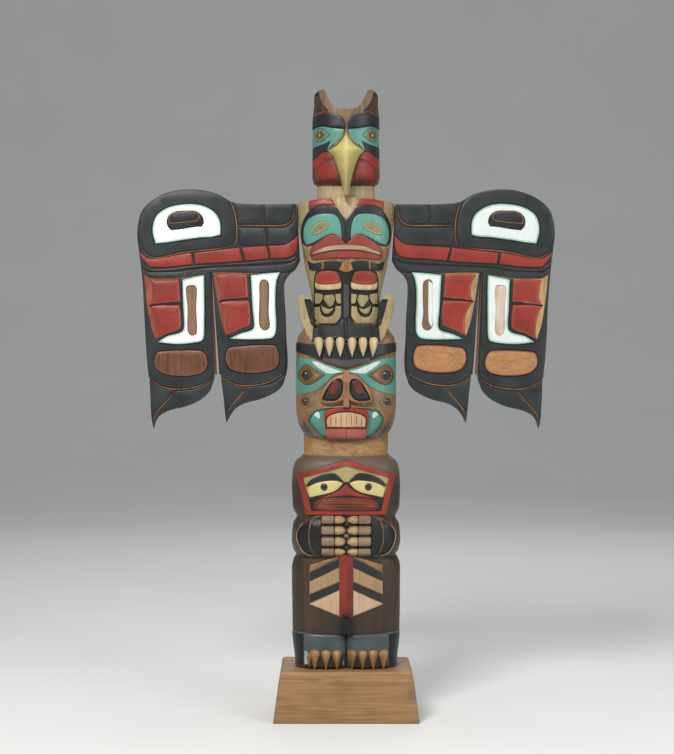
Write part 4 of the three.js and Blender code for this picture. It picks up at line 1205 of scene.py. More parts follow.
def pole_finishes(colours):
    up = (1.0, 1.0, 0.045)
    # The bear's hide grows lighter towards the top of its head: painted light.
    return {"hide": wood("bear_hide", tuple(colours.hide), shade(tuple(colours.hide), 0.5), up, 0.5, 1.0,
                         crown=(226, 248, linear(106, 90, 71))), "back": wood("log_back",
                                                                              linear(122, 94, 66),
                                                                              linear(80, 60, 43), up, 0.6,
                                                                              1.3),
            "neck": wood("lower_neck", linear(182, 145, 92), linear(148, 110, 66), (0.35, 1.0, 0.8), 0.5,
                         0.6, 0.22), "throat": wood("upper_neck", linear(196, 174, 134),
                                                    linear(166, 142, 102), up, 0.5, 0.5),
            "tan": wood("thunderbird_body", tuple(colours.tan), shade(tuple(colours.tan), 0.66), up, 0.5,
                        0.6), "notch": wood("forehead", linear(196, 172, 136), linear(176, 148, 110), up,
                                            0.5, 0.4), "horn": wood("horns", linear(134, 108, 80),
                                                                    linear(108, 85, 60), up, 0.5, 0.7),
            "horn_dark": wood("horn_hollow", linear(84, 66, 52), linear(48, 40, 34), up, 0.6, 1.0),
            "mask_brown": wood("mask_skin", linear(160, 121, 83), linear(124, 91, 59), (0.5, 1.0, 0.4),
                               0.42, 0.7, 0.2, 0.25), "belly": wood("belly_stripe", linear(184, 153, 113),
                                                                    linear(158, 127, 87), up, 0.5, 0.5),
            "pink": wood("belly_foot", linear(212, 182, 156), linear(190, 152, 122), up, 0.5, 0.5),
            "orange": wood("throat_wedge", linear(170, 118, 60), linear(140, 91, 46), up, 0.45, 0.6),
            "gold": wood("cut_line", linear(196, 148, 82), linear(140, 96, 48), (1.0, 1.0, 0.3), 0.5),
            "bare": wood("bare_rim", linear(186, 150, 98), linear(140, 104, 62), up, 0.5, 0.6),
            "claw": wood("toe_claw", linear(192, 148, 94), linear(152, 108, 64), up, 0.42, 0.6),
            "nail": wood("nail", linear(194, 167, 120), linear(162, 132, 90), (0.1, 1, 1), 0.42, 0.5),
            "finger": wood("finger", linear(158, 135, 110), linear(118, 97, 77), (0.1, 1, 1), 0.45, 0.8),
            "teeth": wood("teeth", linear(206, 174, 136), linear(188, 152, 114), up, 0.45, 0.4),
            "ivory": wood("talon", linear(216, 200, 156), linear(190, 166, 120), up, 0.4, 0.35),
            "band": wood("mouth_band", linear(190, 158, 130), linear(158, 122, 96), (0.1, 1, 1), 0.42, 0.5),
            "red": paint("red_paint", tuple(colours.red), 0.4, 0.4, 0.2), "dark_red": paint("nostril_red",
                                                                                            linear(112, 44,
                                                                                                   42), 0.4,
                                                                                            0.3, 0.2),
            "rose": paint("lip_rose", linear(182, 98, 88), 0.42, 0.3, 0.15),
            "black": paint("black_paint", shade(tuple(colours.black), 0.72), 0.38, 0.35, 0.3),
            "pad": paint("foot_black", shade(tuple(colours.black), 0.8), 0.5, 0.35, 0.3),
            "grey": paint("grey_bar", linear(66, 70, 74), 0.42, 0.3, 0.25), "line": paint("dark_line",
                                                                                          linear(32, 32,
                                                                                                 32), 0.5,
                                                                                          0.1, 0.3),
            "teal": paint("teal_paint", tuple(colours.teal), 0.36, 0.35, 0.14, coat=0.3),
            "teal_mask": paint("mask_teal", shade(tuple(colours.teal), 1.08), 0.36, 0.35, 0.14, coat=0.3),
            "teal_light": paint("light_teal_paint", shade(tuple(colours.teal), 1.15), 0.36, 0.35, 0.12,
                                coat=0.3), "yellow": paint("beak_yellow", tuple(colours.yellow), 0.4, 0.35,
                                                           0.12), "olive": paint("face_yellow",
                                                                                 linear(174, 162, 106),
                                                                                 0.42, 0.35, 0.15),
            "cream": paint("eye_cream", linear(212, 198, 130), 0.38, 0.25, 0.1),
            "bone": paint("eye_bone", linear(186, 174, 122), 0.4, 0.4, 0.25),
            "pale": paint("eye_pale", linear(146, 140, 98), 0.4, 0.4, 0.3), "sleeve": wood("cuff",
                                                                                           linear(84, 68,
                                                                                                  54),
                                                                                           linear(46, 38,
                                                                                                  32),
                                                                                           (1.0, 1.0, 0.2),
                                                                                           0.42, 0.9),
            "cuff_black": paint("cuff_black", linear(30, 30, 28), 0.36, 0.3, 0.3),
            "slate": paint("foot_slate", tuple(colours.slate), 0.32, 0.4, 0.22, coat=0.35),
            # A lighter grey on the black brow: a painted sheen.
            "brow_grey": paint("brow_grey", linear(84, 77, 75), 0.34, 0.2, 0.25, coat=0.4),
            # Pale teal patches below the brow and on the cheeks: painted glare.
            "glare": paint("rubbed_teal", linear(206, 226, 218), 0.3, 0.1, 0.1, coat=0.4),
            "eye_dark": paint("eye_ground", linear(92, 70, 50), 0.42, 0.3, 0.3),
            "eye_olive": paint("eye_olive", linear(132, 128, 88), 0.4, 0.4, 0.3),
            # A darker copy of the red for the ridge's right facet: painted shade.
            "red_shade": paint("red_facet", shade(tuple(colours.red), 0.72), 0.42, 0.3, 0.2),
            "lip_red": paint("bear_lip", linear(126, 40, 32), 0.42, 0.3, 0.3),
            "deep": paint("beak_lip", linear(150, 64, 54), 0.42, 0.3, 0.15),
            "lip": paint("mask_lip", linear(170, 92, 80), 0.42, 0.3, 0.15), "seam": wood("jaw_seam",
                                                                                         linear(168, 142,
                                                                                                92),
                                                                                         linear(128, 100,
                                                                                                58), up,
                                                                                         0.5, 0.6),
            # Red-brown for the eagle's jaw, dark as painted shade on the head's underside and under the
            # cheeks.
            "jaw": wood("jaw_underside", linear(126, 68, 48), linear(88, 46, 32), up, 0.5, 0.6),
            "tongue": paint("tongue", linear(128, 58, 36), 0.42, 0.3, 0.3),
            # Near black for the sides of the bear's feet: painted shade on the slate.
            "slate_dark": paint("foot_flank", linear(20, 25, 25), 0.46, 0.4, 0.25, coat=0.2),
            "hollow": paint("claw_shadow", linear(58, 38, 28), 0.5, 0.2, 0.3),
            # Pale grey for small patches on the bear's feet.
            "chip": paint("worn_undercoat", linear(172, 178, 180), 0.4, 0.6, 0.3),
            "eye_rust": paint("mask_eye", linear(134, 94, 56), 0.4, 0.4, 0.3),
            "glass": paint("eyeball", linear(40, 42, 40), 0.2, 0.2, 0.3, coat=0.8),}


def disc(figure, u, v, radius, count=20, tall=1.0):
    """A round outline in a figure's shares, with its radius in millimetres."""
    return [
        (u + math.cos(2 * math.pi * i / count) * radius / figure.half,
         v + math.sin(2 * math.pi * i / count) * radius * tall / figure.height)
        for i in range(count)
    ]


def spread(corners, beyond, to=1.055):
    """An outline whose points near the figure's edge are carried round onto its side."""
    return [(to if corner[0] >= beyond else corner[0], *corner[1:]) for corner in corners]


def ground(carving, figure, floor, top, step, pick):
    """The plain form of a figure, with its paint picked by place."""
    layer = Layer(carving, figure)
    rows = max(2, round((top - floor) / step))
    layer.skin(96, rows, "back", lambda around, along: figure.section(floor + (top - floor) * along,
                                                                      around))
    for face in layer.sheet.faces:
        face.material_index = carving.index(pick(face.calc_center_median()))
    return layer


def face_or_back(front):
    return lambda middle: "back" if middle.y > BACK_FROM else front


def target(layer, figure, u, v, low, high, rings):
    """Flat rings around a spot: [radius, paint] from the outermost in."""
    bands = [(rings[i - 1][0] - rings[i][0], 0.0, rings[i - 1][1]) for i in range(1, len(rings))]
    bands[0] = (max(0.1, bands[0][0] - 0.3), 0.0, rings[0][1])
    layer.panel(disc(figure, u, v, rings[0][0]), low, high, rings[-1][1], rim=0.3, bands=bands,
                step=1.2, rims=rings[0][1])


def carve_bear_face(log, bear):
    cuts = BEAR_CUTS
    face = Layer(log, bear)
    frame = [(0, 0.986, SHARP), (0.902, 0.911, SHARP), (0.726, 0.723, SHARP), (0, 0.723, SHARP)]
    face.panel(frame, -1.2, 2.4, "red", rim=0.9)
    face.panel(cuts["sleeve"], -1.0, 4.2, "sleeve", edge="sleeve", rim=2.2)
    log.apply(face)

    hollow = Layer(log, bear)
    field = [(0, 0.956, SHARP), (0.786, 0.9, SHARP), (0.631, 0.742, SHARP), (0, 0.742, SHARP)]
    hollow.panel(field, 1.1, 6.0, "red", edge="gold", rim=0.0, floor="olive")
    palm = [(0, 0.722, SHARP), (0.446, 0.722, SHARP), (0.446, 0.528, SHARP), (0, 0.53, SHARP)]
    hollow.panel(palm, 0.2, 9.0, "line", rim=0.0)
    log.apply(hollow, "DIFFERENCE")

    under = Layer(log, bear)
    lower = [(0, 0.882, SHARP), (0.07, 0.876), (0.17, 0.86), (0.3, 0.848), (0.5, 0.836),
             (0.706, 0.828, SHARP), (0.633, 0.743, SHARP), (0, 0.743, SHARP)]
    under.panel(lower, 0.4, 1.6, "line", rim=0.2, step=1.2)
    log.apply(under)
    first = Layer(log, bear)
    brow = [(0.012, 0.872, SHARP), (0.127, 0.905), (0.218, 0.921), (0.383, 0.919), (0.533, 0.906),
            (0.653, 0.888), (0.742, 0.861, SHARP), (0.608, 0.862), (0.383, 0.882), (0.233, 0.888),
            (0.127, 0.884)]
    first.panel(brow, 0.5, 2.4, "black", rim=0.6, step=1.1)
    nose = [(0, 0.87, SHARP), (0.06, 0.855), (0.14, 0.839), (0.27, 0.823), (0.45, 0.809),
            (0.58, 0.803, SHARP), (0.3, 0.809), (0, 0.817)]
    first.panel(nose, 0.5, 2.7, "red", rim=0.6, step=1.1)
    log.apply(first)

    second = Layer(log, bear)
    second.panel(cuts["eye"], 0.6, 2.2, "cream", rim=0.5, crown=(0.9, 4.0), step=1.1, rims="gold")
    mouth = [(0, 0.813), (0.3, 0.806), (0.52, 0.8), (0.655, 0.795, SHARP), (0.623, 0.747, SHARP),
             (0, 0.747, SHARP)]
    second.panel(mouth, 0.5, 2.1, "cuff_black", rim=0.5, step=1.1)
    log.apply(second)

    third = Layer(log, bear)
    third.panel(disc(bear, 0.4, 0.857, 4.0), 1.8, 3.1, "gold", edge="gold", rim=0.3, step=1.0)
    rings = [(0.8, 0.1, "lip_red"), (0.5, -0.4, "line"), (0.7, 0.3, "tongue"), (0.45, -0.2, "line")]
    third.panel(cuts["lips"], 1.4, 2.8, "tongue", rim=0.7, bands=rings, step=1.1, rims="lip_red")
    log.apply(third)

    fourth = Layer(log, bear)
    fourth.panel(disc(bear, 0.4, 0.857, 3.4), 2.6, 3.7, "glass", rim=0.5, crown=(0.4, 2.4), step=0.9)
    log.apply(fourth)
    slit = Layer(log, bear)
    slit.line([bear.point(u, 0.776) for u in (-0.4, -0.2, 0.0, 0.2, 0.4)], 1.0, "line", rise=2.7)
    slit.line([bear.point(u, 0.765) for u in (-0.36, -0.2, 0.0, 0.2, 0.36)], 0.8, "line", rise=2.7)
    log.apply(slit, "DIFFERENCE")


def carve_bear_hands(log, bear):
    cuts = BEAR_CUTS
    cuff = Layer(log, bear)
    cuff.panel(cuts["sleeve_black1"], 3.4, 6.0, "cuff_black", edge="cuff_black", rim=0.0,
               floor="cuff_black")
    cuff.panel(cuts["sleeve_black2"], 3.4, 6.0, "cuff_black", edge="cuff_black", rim=0.0,
               floor="cuff_black")
    log.apply(cuff, "DIFFERENCE")
    lines = Layer(log, bear)
    for side in (1, -1):
        arc = [(0.625, 0.704), (0.668, 0.655), (0.667, 0.595), (0.6, 0.545), (0.58, 0.535)]
        lines.line(bear.string(arc, side, 1.5), 1.1, "bare", rise=3.7)
        rim = [(0.79, 0.687), (0.876, 0.652), (0.893, 0.612), (0.815, 0.56), (0.72, 0.539), (0.6, 0.532)]
        lines.line(bear.string(rim, side, 1.5), 1.2, "bare", rise=4.2)
    log.apply(lines)

    hands = Layer(log, bear)
    rows = ((0.683, 0.723), (0.631, 0.676), (0.577, 0.626), (0.534, 0.571))
    for side in (1, -1):
        for low, high in rows:
            middle = (low + high) / 2
            tall = (high - low) * bear.height / 2 * 0.97

            def finger(around, along, begin=0.452, end=0.212, blunt=0.05):
                u = begin + (end - begin) * along
                near_end = min(along, 1 - along) / blunt
                size = math.sqrt(1 - (1 - min(1.0, near_end)) ** 2) if near_end < 1 else 1.0
                size = 0.72 + 0.28 * size
                angle = 2 * math.pi * around
                z = bear.floor + middle * bear.height + math.sin(angle) * tall * size
                return bear.place(side * u * bear.half, z, 2.2 + math.cos(angle) * 4.6 * size)

            def nail(around, along):
                u = 0.203 - 0.19 * along
                size = math.sqrt(max(0.0, 1 - max(0.0, (along - 0.25) / 0.75) ** 2)) * 0.96
                size = max(size, 0.12) * (0.86 + 0.14 * min(1, along / 0.2))
                angle = 2 * math.pi * around
                z = bear.floor + middle * bear.height + math.sin(angle) * tall * size
                return bear.place(side * u * bear.half, z, 2.2 + math.cos(angle) * 5.0 * size)

            hands.skin(20, 10, "finger", finger)
            hands.skin(20, 12, "nail", nail)
    log.apply(hands)
    between = Layer(log, bear)
    for v, paint_name in ((0.679, "cuff_black"), (0.628, "bare"), (0.574, "grey")):
        spot = bear.place(0.0, bear.floor + v * bear.height, 2.0)
        between.ball(spot, 1.9, paint_name, (1.6, 1.0, 1.0), 14)
    log.apply(between)


def carve_bear_belly(log, bear):
    under = Layer(log, bear)
    under.panel([(0, 0.535, SHARP), (0.668, 0.49, SHARP), (0.668, 0.303, SHARP), (0, 0.235, SHARP)], -1.0,
                1.2, "gold", rim=0.4)
    log.apply(under)
    stripes = Layer(log, bear)
    bands = (
        ("mask_brown", (0.126, 0.534), (0.664, 0.49), (0.664, 0.457), (0.126, 0.527), 2.2),
        ("black", (0.126, 0.524), (0.664, 0.453), (0.664, 0.414), (0.126, 0.481), 2.0),
        ("belly", (0.126, 0.478), (0.664, 0.411), (0.664, 0.352), (0.126, 0.413), 2.3),
        ("black", (0.126, 0.41), (0.664, 0.349), (0.664, 0.311), (0.126, 0.374), 2.0),
        ("pink", (0.126, 0.371), (0.655, 0.306), (0.126, 0.252), 2.3),
    )
    for name, *points, high in bands:
        edge = "line" if name == "black" else "gold"
        stripes.panel([(*point, SHARP) for point in points], 0.5, high, name, edge=edge, rim=0.4, step=2.0)
    log.apply(stripes)

    ridge = Layer(log, bear)

    def bar(around, along):
        z = bear.floor + bear.height * (0.232 + (0.54 - 0.232) * along)
        narrow = min(1.0, along / 0.09)
        half = 6.3 * max(0.04, narrow)
        spots = ((0.0, 0.4 + 5.8 * max(0.3, narrow)), (1.0, 2.4), (1.0, 0.0), (-1.0, 0.0), (-1.0, 2.4))
        spots = spots + (spots[0],)
        first = min(4, int(around * 5 + 0.001))
        share = around * 5 - first
        x = spots[first][0] + (spots[first + 1][0] - spots[first][0]) * share
        out = spots[first][1] + (spots[first + 1][1] - spots[first][1]) * share
        return bear.place(x * half, z, out)

    ridge.skin(20, 24, "red", bar)
    # The ridge's right facet takes the darker red as painted shade.
    for face in ridge.sheet.faces:
        if face.calc_center_median().x > 0.05:
            face.material_index = log.index("red_shade")
    log.apply(ridge)


def carve_bear_feet(log, bear):
    feet = Layer(log, bear)
    toes = [(0.0, 0.162, SHARP), (0.78, 0.166, SHARP), (0.78, 0.006, SHARP), (0.0, 0.006, SHARP)]
    feet.panel(toes, -1.0, 4.2, "slate", edge="slate", rim=2.4)
    sides = [(0.6, 0.166, SHARP), (0.93, 0.172), (1.06, 0.16, SHARP), (1.06, 0.004, SHARP), (0.9, 0.004),
             (0.7, 0.004, SHARP)]
    log.apply(feet)
    # The feet's sides are painted near black as painted shade, with slate rims.
    flanks = Layer(log, bear)
    flanks.panel(sides, -1.0, 2.6, "slate_dark", edge="slate_dark", rim=1.8, rims="slate")
    log.apply(flanks)
    split = Layer(log, bear)
    split.line([bear.point(0, v) for v in (-0.01, 0.04, 0.08, 0.12, 0.16, 0.175)], 1.2, "line", depth=2.4,
               tapered=False, rise=4.2)
    for side in (1, -1):
        corner = [(side * 0.79, 0.15), (side * 0.79, 0.1), (side * 0.79, 0.05), (side * 0.78, 0.01)]
        split.line([bear.point(u, v) for u, v in corner], 1.0, "line", depth=0.9, rise=3.2)
    log.apply(split, "DIFFERENCE")

    # A dark sheet behind the claws: painted shadow.
    gap = Layer(log, bear)
    gap.panel([(0.07, 0.07, SHARP), (0.75, 0.07, SHARP), (0.75, 0.008, SHARP), (0.07, 0.008, SHARP)], 3.0,
              4.5, "hollow", edge="hollow", rim=0.4)
    log.apply(gap)
    # Pale grey patches on the left foot.
    chips = Layer(log, bear)
    for outline in ([(0.765, 0.086, SHARP), (0.7, 0.078), (0.715, 0.05), (0.7, 0.022), (0.76, 0.02, SHARP)],
                    [(0.022, 0.05, SHARP), (0.055, 0.045), (0.06, 0.02), (0.022, 0.012, SHARP)]):
        chips.panel(outline, 3.0, 4.7, "chip", edge="hollow", rim=0.2, step=1.1, only=1)
    log.apply(chips)

    claws = Layer(log, bear)
    for side, shares in ((1, (0.104, 0.302, 0.496, 0.682)), (-1, (0.167, 0.365, 0.571, 0.672))):
        for number, share in enumerate(shares):
            small = side < 0 and number == 3
            short = 0.5 if small else 1.0
            back = 1.6 if small else 0.0

            def claw(around, along, share=share, side=side, short=short, back=back):
                z = bear.floor + 0.5 + (18.6 - back * 2) * along
                size = smooth_rows([[0, 0.2], [0.2, 0.42], [0.5, 0.74], [0.78, 1.0], [0.92, 0.86],
                                    [1, 0.3]], along)[0]
                out = smooth_rows([[0, 0.72], [0.5, 0.9], [0.8, 1.0], [0.93, 0.8], [1, 0.3]], along)[0]
                angle = 2 * math.pi * around
                x = side * share * bear.half + math.cos(angle) * 4.95 * size * short
                return bear.place(x, z, 3.6 - back + math.sin(angle) * 5.2 * out)

            if small:
                inner = Layer(log, bear)
                inner.skin(16, 12, "claw", claw)
            else:
                claws.skin(18, 14, "claw", claw)
    log.apply(claws)
    log.apply(inner)


def carve_bear(log, bear):
    carve_bear_face(log, bear)
    carve_bear_hands(log, bear)
    carve_bear_belly(log, bear)
    carve_bear_feet(log, bear)


def carve_mask(log, mask):
    cuts = MASK_CUTS
    first = Layer(log, mask)
    first.panel(spread(cuts["eye_field"], 0.94), -1.0, 0.9, "teal_mask", rim=0.6)
    log.apply(first)
    brow = Layer(log, mask)
    brow.panel(spread(cuts["brow"], 0.94), -1.0, 2.8, "black", rim=1.2)
    log.apply(brow)
    # A painted sheen on the brow, and painted glare on the teal below it.
    shine = Layer(log, mask)
    shine.panel([(0, 0.682), (0.117, 0.694), (0.285, 0.721), (0.47, 0.756), (0.285, 0.764), (0.12, 0.757),
                 (0, 0.752)], 2.0, 3.0, "brow_grey", rim=0.2)
    shine.panel([(0.06, 0.644), (0.2, 0.662), (0.4, 0.7), (0.66, 0.743), (0.6, 0.7), (0.47, 0.657),
                 (0.36, 0.628), (0.22, 0.63), (0.1, 0.637)], 0.2, 1.05, "glare", edge="teal", rim=0.1)
    log.apply(shine)
    cheeks = Layer(log, mask)
    cheeks.panel(cuts["mouth_rim"], -1.0, 1.5, "mask_brown", edge="mask_brown", rim=1.2)
    log.apply(cheeks)
    sockets = Layer(log, mask)
    sockets.panel(cuts["mouth_hollow"], -1.6, 8.0, "teal", rim=0.0, floor="teal")
    log.apply(sockets, "DIFFERENCE")
    eyes = Layer(log, mask)
    eyes.panel(cuts["eye"], 0.2, 1.6, "mask_brown", rim=0.5, step=1.2, rims="eye_dark",
               bands=[(0.8, 0.0, "eye_dark"), (0.4, 0.2, "gold"), (0.4, 0.0, "line"),
                      (0.9, 0.0, "eye_rust")])
    log.apply(eyes)
    knobs = Layer(log, mask)
    target(knobs, mask, 0.775, 0.611, 0.4, 2.1, [(7.5, "eye_rust"), (6.8, "line"), (6.4, "gold"),
                                                 (5.8, "eye_dark")])
    target(knobs, mask, 0.8, 0.361, -0.6, 0.9, [(6.6, "mask_brown"), (5.6, "line"), (5.1, "gold"),
                                                (4.4, "eye_dark")])
    log.apply(knobs)
    nose = Layer(log, mask)
    nose.panel(cuts["nose_wing"], -1.0, 6.2, "mask_brown", edge="mask_brown", rim=2.6, step=1.3)
    log.apply(nose)
    bridge = Layer(log, mask)
    bridge.panel([(0, 0.655, SHARP), (0.06, 0.65), (0.062, 0.5), (0.06, 0.38), (0.055, 0.31),
                  (0, 0.305, SHARP)], -1.0, 7.0, "mask_brown", edge="mask_brown", rim=1.6, step=1.3)
    log.apply(bridge)
    nostrils = Layer(log, mask)
    nostrils.panel(cuts["nostril"], 4.2, 12.0, "line", rim=0.0, floor="black", step=1.2)
    log.apply(nostrils, "DIFFERENCE")
    pads = Layer(log, mask)
    smaller = [(0.105, 0.556), (0.187, 0.564), (0.268, 0.544), (0.35, 0.494), (0.436, 0.414), (0.44, 0.388),
               (0.327, 0.377), (0.195, 0.385), (0.108, 0.427), (0.085, 0.492)]
    pads.panel(smaller, 3.6, 5.0, "black", rim=0.8, crown=(0.9, 4.0), step=1.2)
    log.apply(pads)
    reds = Layer(log, mask)
    reds.panel([(u - 0.03, v + 0.004) for u, v in cuts["nostril_red"]], 4.6, 6.1, "dark_red", rim=0.6,
               step=1.1)
    log.apply(reds)
    mouth = Layer(log, mask)
    mouth.panel(cuts["lip_frame"], -2.4, 3.4, "red", edge="dark_red", rim=1.0, step=1.2)
    log.apply(mouth)
    chin = Layer(log, mask)
    chin.panel(cuts["lower_lip"], -2.4, 3.6, "lip", edge="gold", rim=0.8, step=1.2)
    log.apply(chin)
    inside = Layer(log, mask)
    inside.panel(cuts["teeth"], 0.8, 8.0, "dark_red", edge="dark_red", rim=0.0, floor="dark_red", step=1.2)
    log.apply(inside, "DIFFERENCE")
    teeth = Layer(log, mask)
    row = [(0, 0.262), (0.187, 0.252), (0.31, 0.232), (0.378, 0.2), (0.376, 0.12, SHARP), (0, 0.118, SHARP)]
    teeth.panel(row, 0.4, 2.4, "teeth", edge="dark_red", rim=0.9, step=1.2)
    log.apply(teeth)
    gaps = Layer(log, mask)
    for u in (0.1, 0.2, 0.3):
        for side in (1, -1):
            top = 0.252 - (u / 0.38) ** 2 * 0.04
            gaps.line([mask.point(side * u, v) for v in (0.122, 0.16, 0.2, top)], 1.0, "rose", depth=0.7,
                      rise=2.4)
    gaps.line([mask.point(0, v) for v in (0.122, 0.16, 0.2, 0.258)], 0.8, "rose", depth=0.6, rise=2.4)
    gaps.line([mask.point(0, v) for v in (0.01, 0.04, 0.07, 0.1)], 0.7, "dark_red", depth=0.6,
              tapered=False, rise=3.6)
    log.apply(gaps, "DIFFERENCE")
    # A painted glare patch on each teal cheek.
    cheek = Layer(log, mask)
    cheek.panel([(0.53, 0.255), (0.6, 0.262), (0.63, 0.235), (0.58, 0.215), (0.53, 0.2)], -2.2, -1.25,
                "glare", edge="teal", rim=0.1, step=1.0)
    log.apply(cheek)
    balls = Layer(log, mask)
    for side in (1, -1):
        spot = mask.place(side * 38.75, mask.floor + 0.611 * mask.height, 0.6)
        balls.ball(spot, 4.9, "glass", (1.0, 0.75, 1.0))
        spot = mask.place(side * 40.0, mask.floor + 0.361 * mask.height, 0.0)
        balls.ball(spot, 3.3, "glass", (1.0, 0.75, 1.0), 20)
    log.apply(balls)
    top = Layer(log, mask)
    top.panel([(0, 1.06, SHARP), (0.715, 1.06, SHARP), (0.72, 0.975), (0.69, 0.935, SHARP),
               (0, 0.935, SHARP)], -1.0, 0.5, "black", rim=0.3)
    log.apply(top)
    grooves = Layer(log, mask)
    for side in (1, -1):
        arc = [(0.7, 0.414), (0.62, 0.385), (0.6, 0.35), (0.62, 0.304)]
        grooves.line(mask.string(arc, side, 1.4), 1.1, "teal", rise=0.0)
        arc = [(0.93, 0.27), (0.87, 0.19), (0.8, 0.12), (0.7, 0.065), (0.6, 0.03)]
        grooves.line(mask.string(arc, side, 1.4), 1.0, "line", rise=0.3)
    log.apply(grooves, "DIFFERENCE")


def carve_thunderbird(log, bird):
    cuts = THUNDERBIRD_CUTS
    first = Layer(log, bird)
    first.panel(cuts["eye_surround"], -1.0, 1.3, "black", rim=0.8, step=1.4)
    first.panel([(0, 0.566, SHARP), (0.48, 0.56), (0.7, 0.556), (0.79, 0.558, SHARP), (0.785, 0.513),
                 (0.75, 0.472, SHARP), (0.659, 0.466), (0.465, 0.466), (0.272, 0.462), (0.13, 0.474),
                 (0, 0.455, SHARP)], -1.0, 0.4, "seam", rim=0.3)
    first.panel([(0, 1.02, SHARP), (0.2, 1.02, SHARP), (0.17, 0.95), (0.08, 0.885), (0, 0.86, SHARP)], -1.0,
                0.25, "notch", rim=0.2)
    log.apply(first)
    second = Layer(log, bird)
    second.panel(cuts["eye_field"], 0.5, 1.9, "teal_light", rim=0.7, step=1.3)
    second.panel(cuts["red_brow"], -1.0, 1.6, "red", rim=0.7, step=1.4)
    log.apply(second)
    jaw = Layer(log, bird)
    jaw.panel([(0.83, 0.64), (0.835, 0.6), (0.8, 0.545, SHARP), (0.7, 0.545, SHARP), (0.745, 0.595),
               (0.726, 0.638, SHARP)], -1.0, 0.7, "seam", rim=0.4, step=1.3)
    log.apply(jaw)
    lips = Layer(log, bird)
    lips.panel(cuts["lips"], -1.0, 3.2, "deep", edge="gold", rim=1.1, step=1.3)
    lips.panel(cuts["collar"], -0.5, 1.2, "black", rim=0.6, step=1.3)
    ends = [(0.498, 0.537, SHARP), (0.674, 0.53), (0.8, 0.556, SHARP), (0.765, 0.513),
            (0.745, 0.483, SHARP), (0.659, 0.474), (0.501, 0.476, SHARP)]
    lips.panel(ends, -0.5, 1.2, "black", rim=0.6, step=1.3)
    log.apply(lips)
    wedge = Layer(log, bird)
    wedge.panel(cuts["wedge"], -1.0, 2.6, "orange", rim=1.0, step=1.3)
    wedge.panel(cuts["eye"], 1.3, 2.3, "eye_olive", rim=0.3, step=1.0, rims="seam",
                bands=[(0.35, 0.0, "line"), (0.8, 0.0, "bone"), (0.3, 0.0, "line")])
    log.apply(wedge)
    pupils = Layer(log, bird)
    pupils.panel(disc(bird, 0.52, 0.795, 1.6, 14, 0.9), 2.0, 2.6, "seam", rim=0.2, step=0.9, rims="line")
    log.apply(pupils)
    band = Layer(log, bird)
    band.panel(cuts["mouth_band"], 2.2, 8.0, "line", edge="dark_red", rim=0.0, floor="line", step=1.2)
    log.apply(band, "DIFFERENCE")
    bead = Layer(log, bird)
    upper = [(0, 0.665), (0.257, 0.661), (0.48, 0.642), (0.695, 0.61, SHARP), (0.7, 0.592, SHARP),
             (0.48, 0.61), (0.257, 0.624), (0, 0.628)]
    bead.panel(upper, 1.6, 2.9, "band", rim=0.6, step=1.2)
    log.apply(bead)
    scores = Layer(log, bird)
    for side in (1, -1):
        path = [(0.862, 0.651), (0.85, 0.608), (0.815, 0.56), (0.8, 0.545)]
        scores.line(bird.string(path, side, 1.4), 1.9, "line", depth=0.8, rise=0.3)
        path = [(0.165, 0.905), (0.1, 0.86), (0.062, 0.79), (0.05, 0.71)]
        scores.line(bird.string(path, side, 1.4), 1.3, "grey", depth=0.6, rise=1.3)
    log.apply(scores, "DIFFERENCE")

    belly = Layer(log, bird)
    dark = [(0, 0.46, SHARP), (0.13, 0.478), (0.3, 0.484), (0.58, 0.476), (0.655, 0.43), (0.66, 0.3),
            (0.668, 0.1, SHARP), (0, 0.1, SHARP)]
    belly.panel(dark, -1.0, 0.7, "line", rim=0.4, step=1.6)
    log.apply(belly)
    legs = Layer(log, bird)
    legs.panel(cuts["knee_cap"], 0.0, 4.4, "ivory", rim=1.8, step=1.2)
    for key in ("block_outer", "block_inner"):
        legs.panel(cuts[key], 0.0, 3.0, "tan", rim=0.7, step=1.2)
    legs.panel(cuts["knee"], 0.0, 4.0, "tan", rim=1.6, step=1.1)
    legs.panel(cuts["shin_u"], 0.0, 3.4, "tan", rim=1.2, step=1.2)
    inner = [(0.51, 0.224, SHARP), (0.47, 0.205), (0.42, 0.196), (0.34, 0.187), (0.262, 0.198, SHARP),
             (0.285, 0.172), (0.39, 0.151), (0.475, 0.168)]
    legs.panel(inner, 0.0, 2.6, "tan", rim=0.8, step=1.1)
    log.apply(legs)
    caps = Layer(log, bird)
    cap = [(0.628, 0.39), (0.616, 0.428), (0.57, 0.458), (0.46, 0.468), (0.265, 0.468), (0.188, 0.457),
           (0.137, 0.414), (0.116, 0.385), (0.2, 0.373), (0.37, 0.366), (0.54, 0.371)]
    caps.panel(cap, 3.0, 5.1, "red", edge="red", rim=1.3, step=1.1, bands=[(0.9, 0.0, "red"),
                                                                           (0.35, 0.0, "lip")])
    log.apply(caps)
    bars = Layer(log, bird)
    bars.panel([(0, 0.37, SHARP), (0.054, 0.366, SHARP), (0.054, 0.125, SHARP), (0, 0.125, SHARP)], 0.2,
               2.2, "grey", rim=0.6, step=1.6)
    log.apply(bars)
    feet = Layer(log, bird)
    foot = [*cuts["foot"][:6], (0.655, -0.034, SHARP), (0.685, 0.03)]
    feet.panel(foot, -1.0, 4.0, "pad", rim=1.8, step=1.4, lean=(391.0, 0.58))
    log.apply(feet)
    dark = Layer(log, bird)
    dark.panel([(0, 0.125, SHARP), (0.045, 0.125, SHARP), (0.045, -0.05, SHARP), (0, -0.05, SHARP)], -1.0,
               2.2, "line", rim=0.3, lean=(391.0, 0.5))
    log.apply(dark)

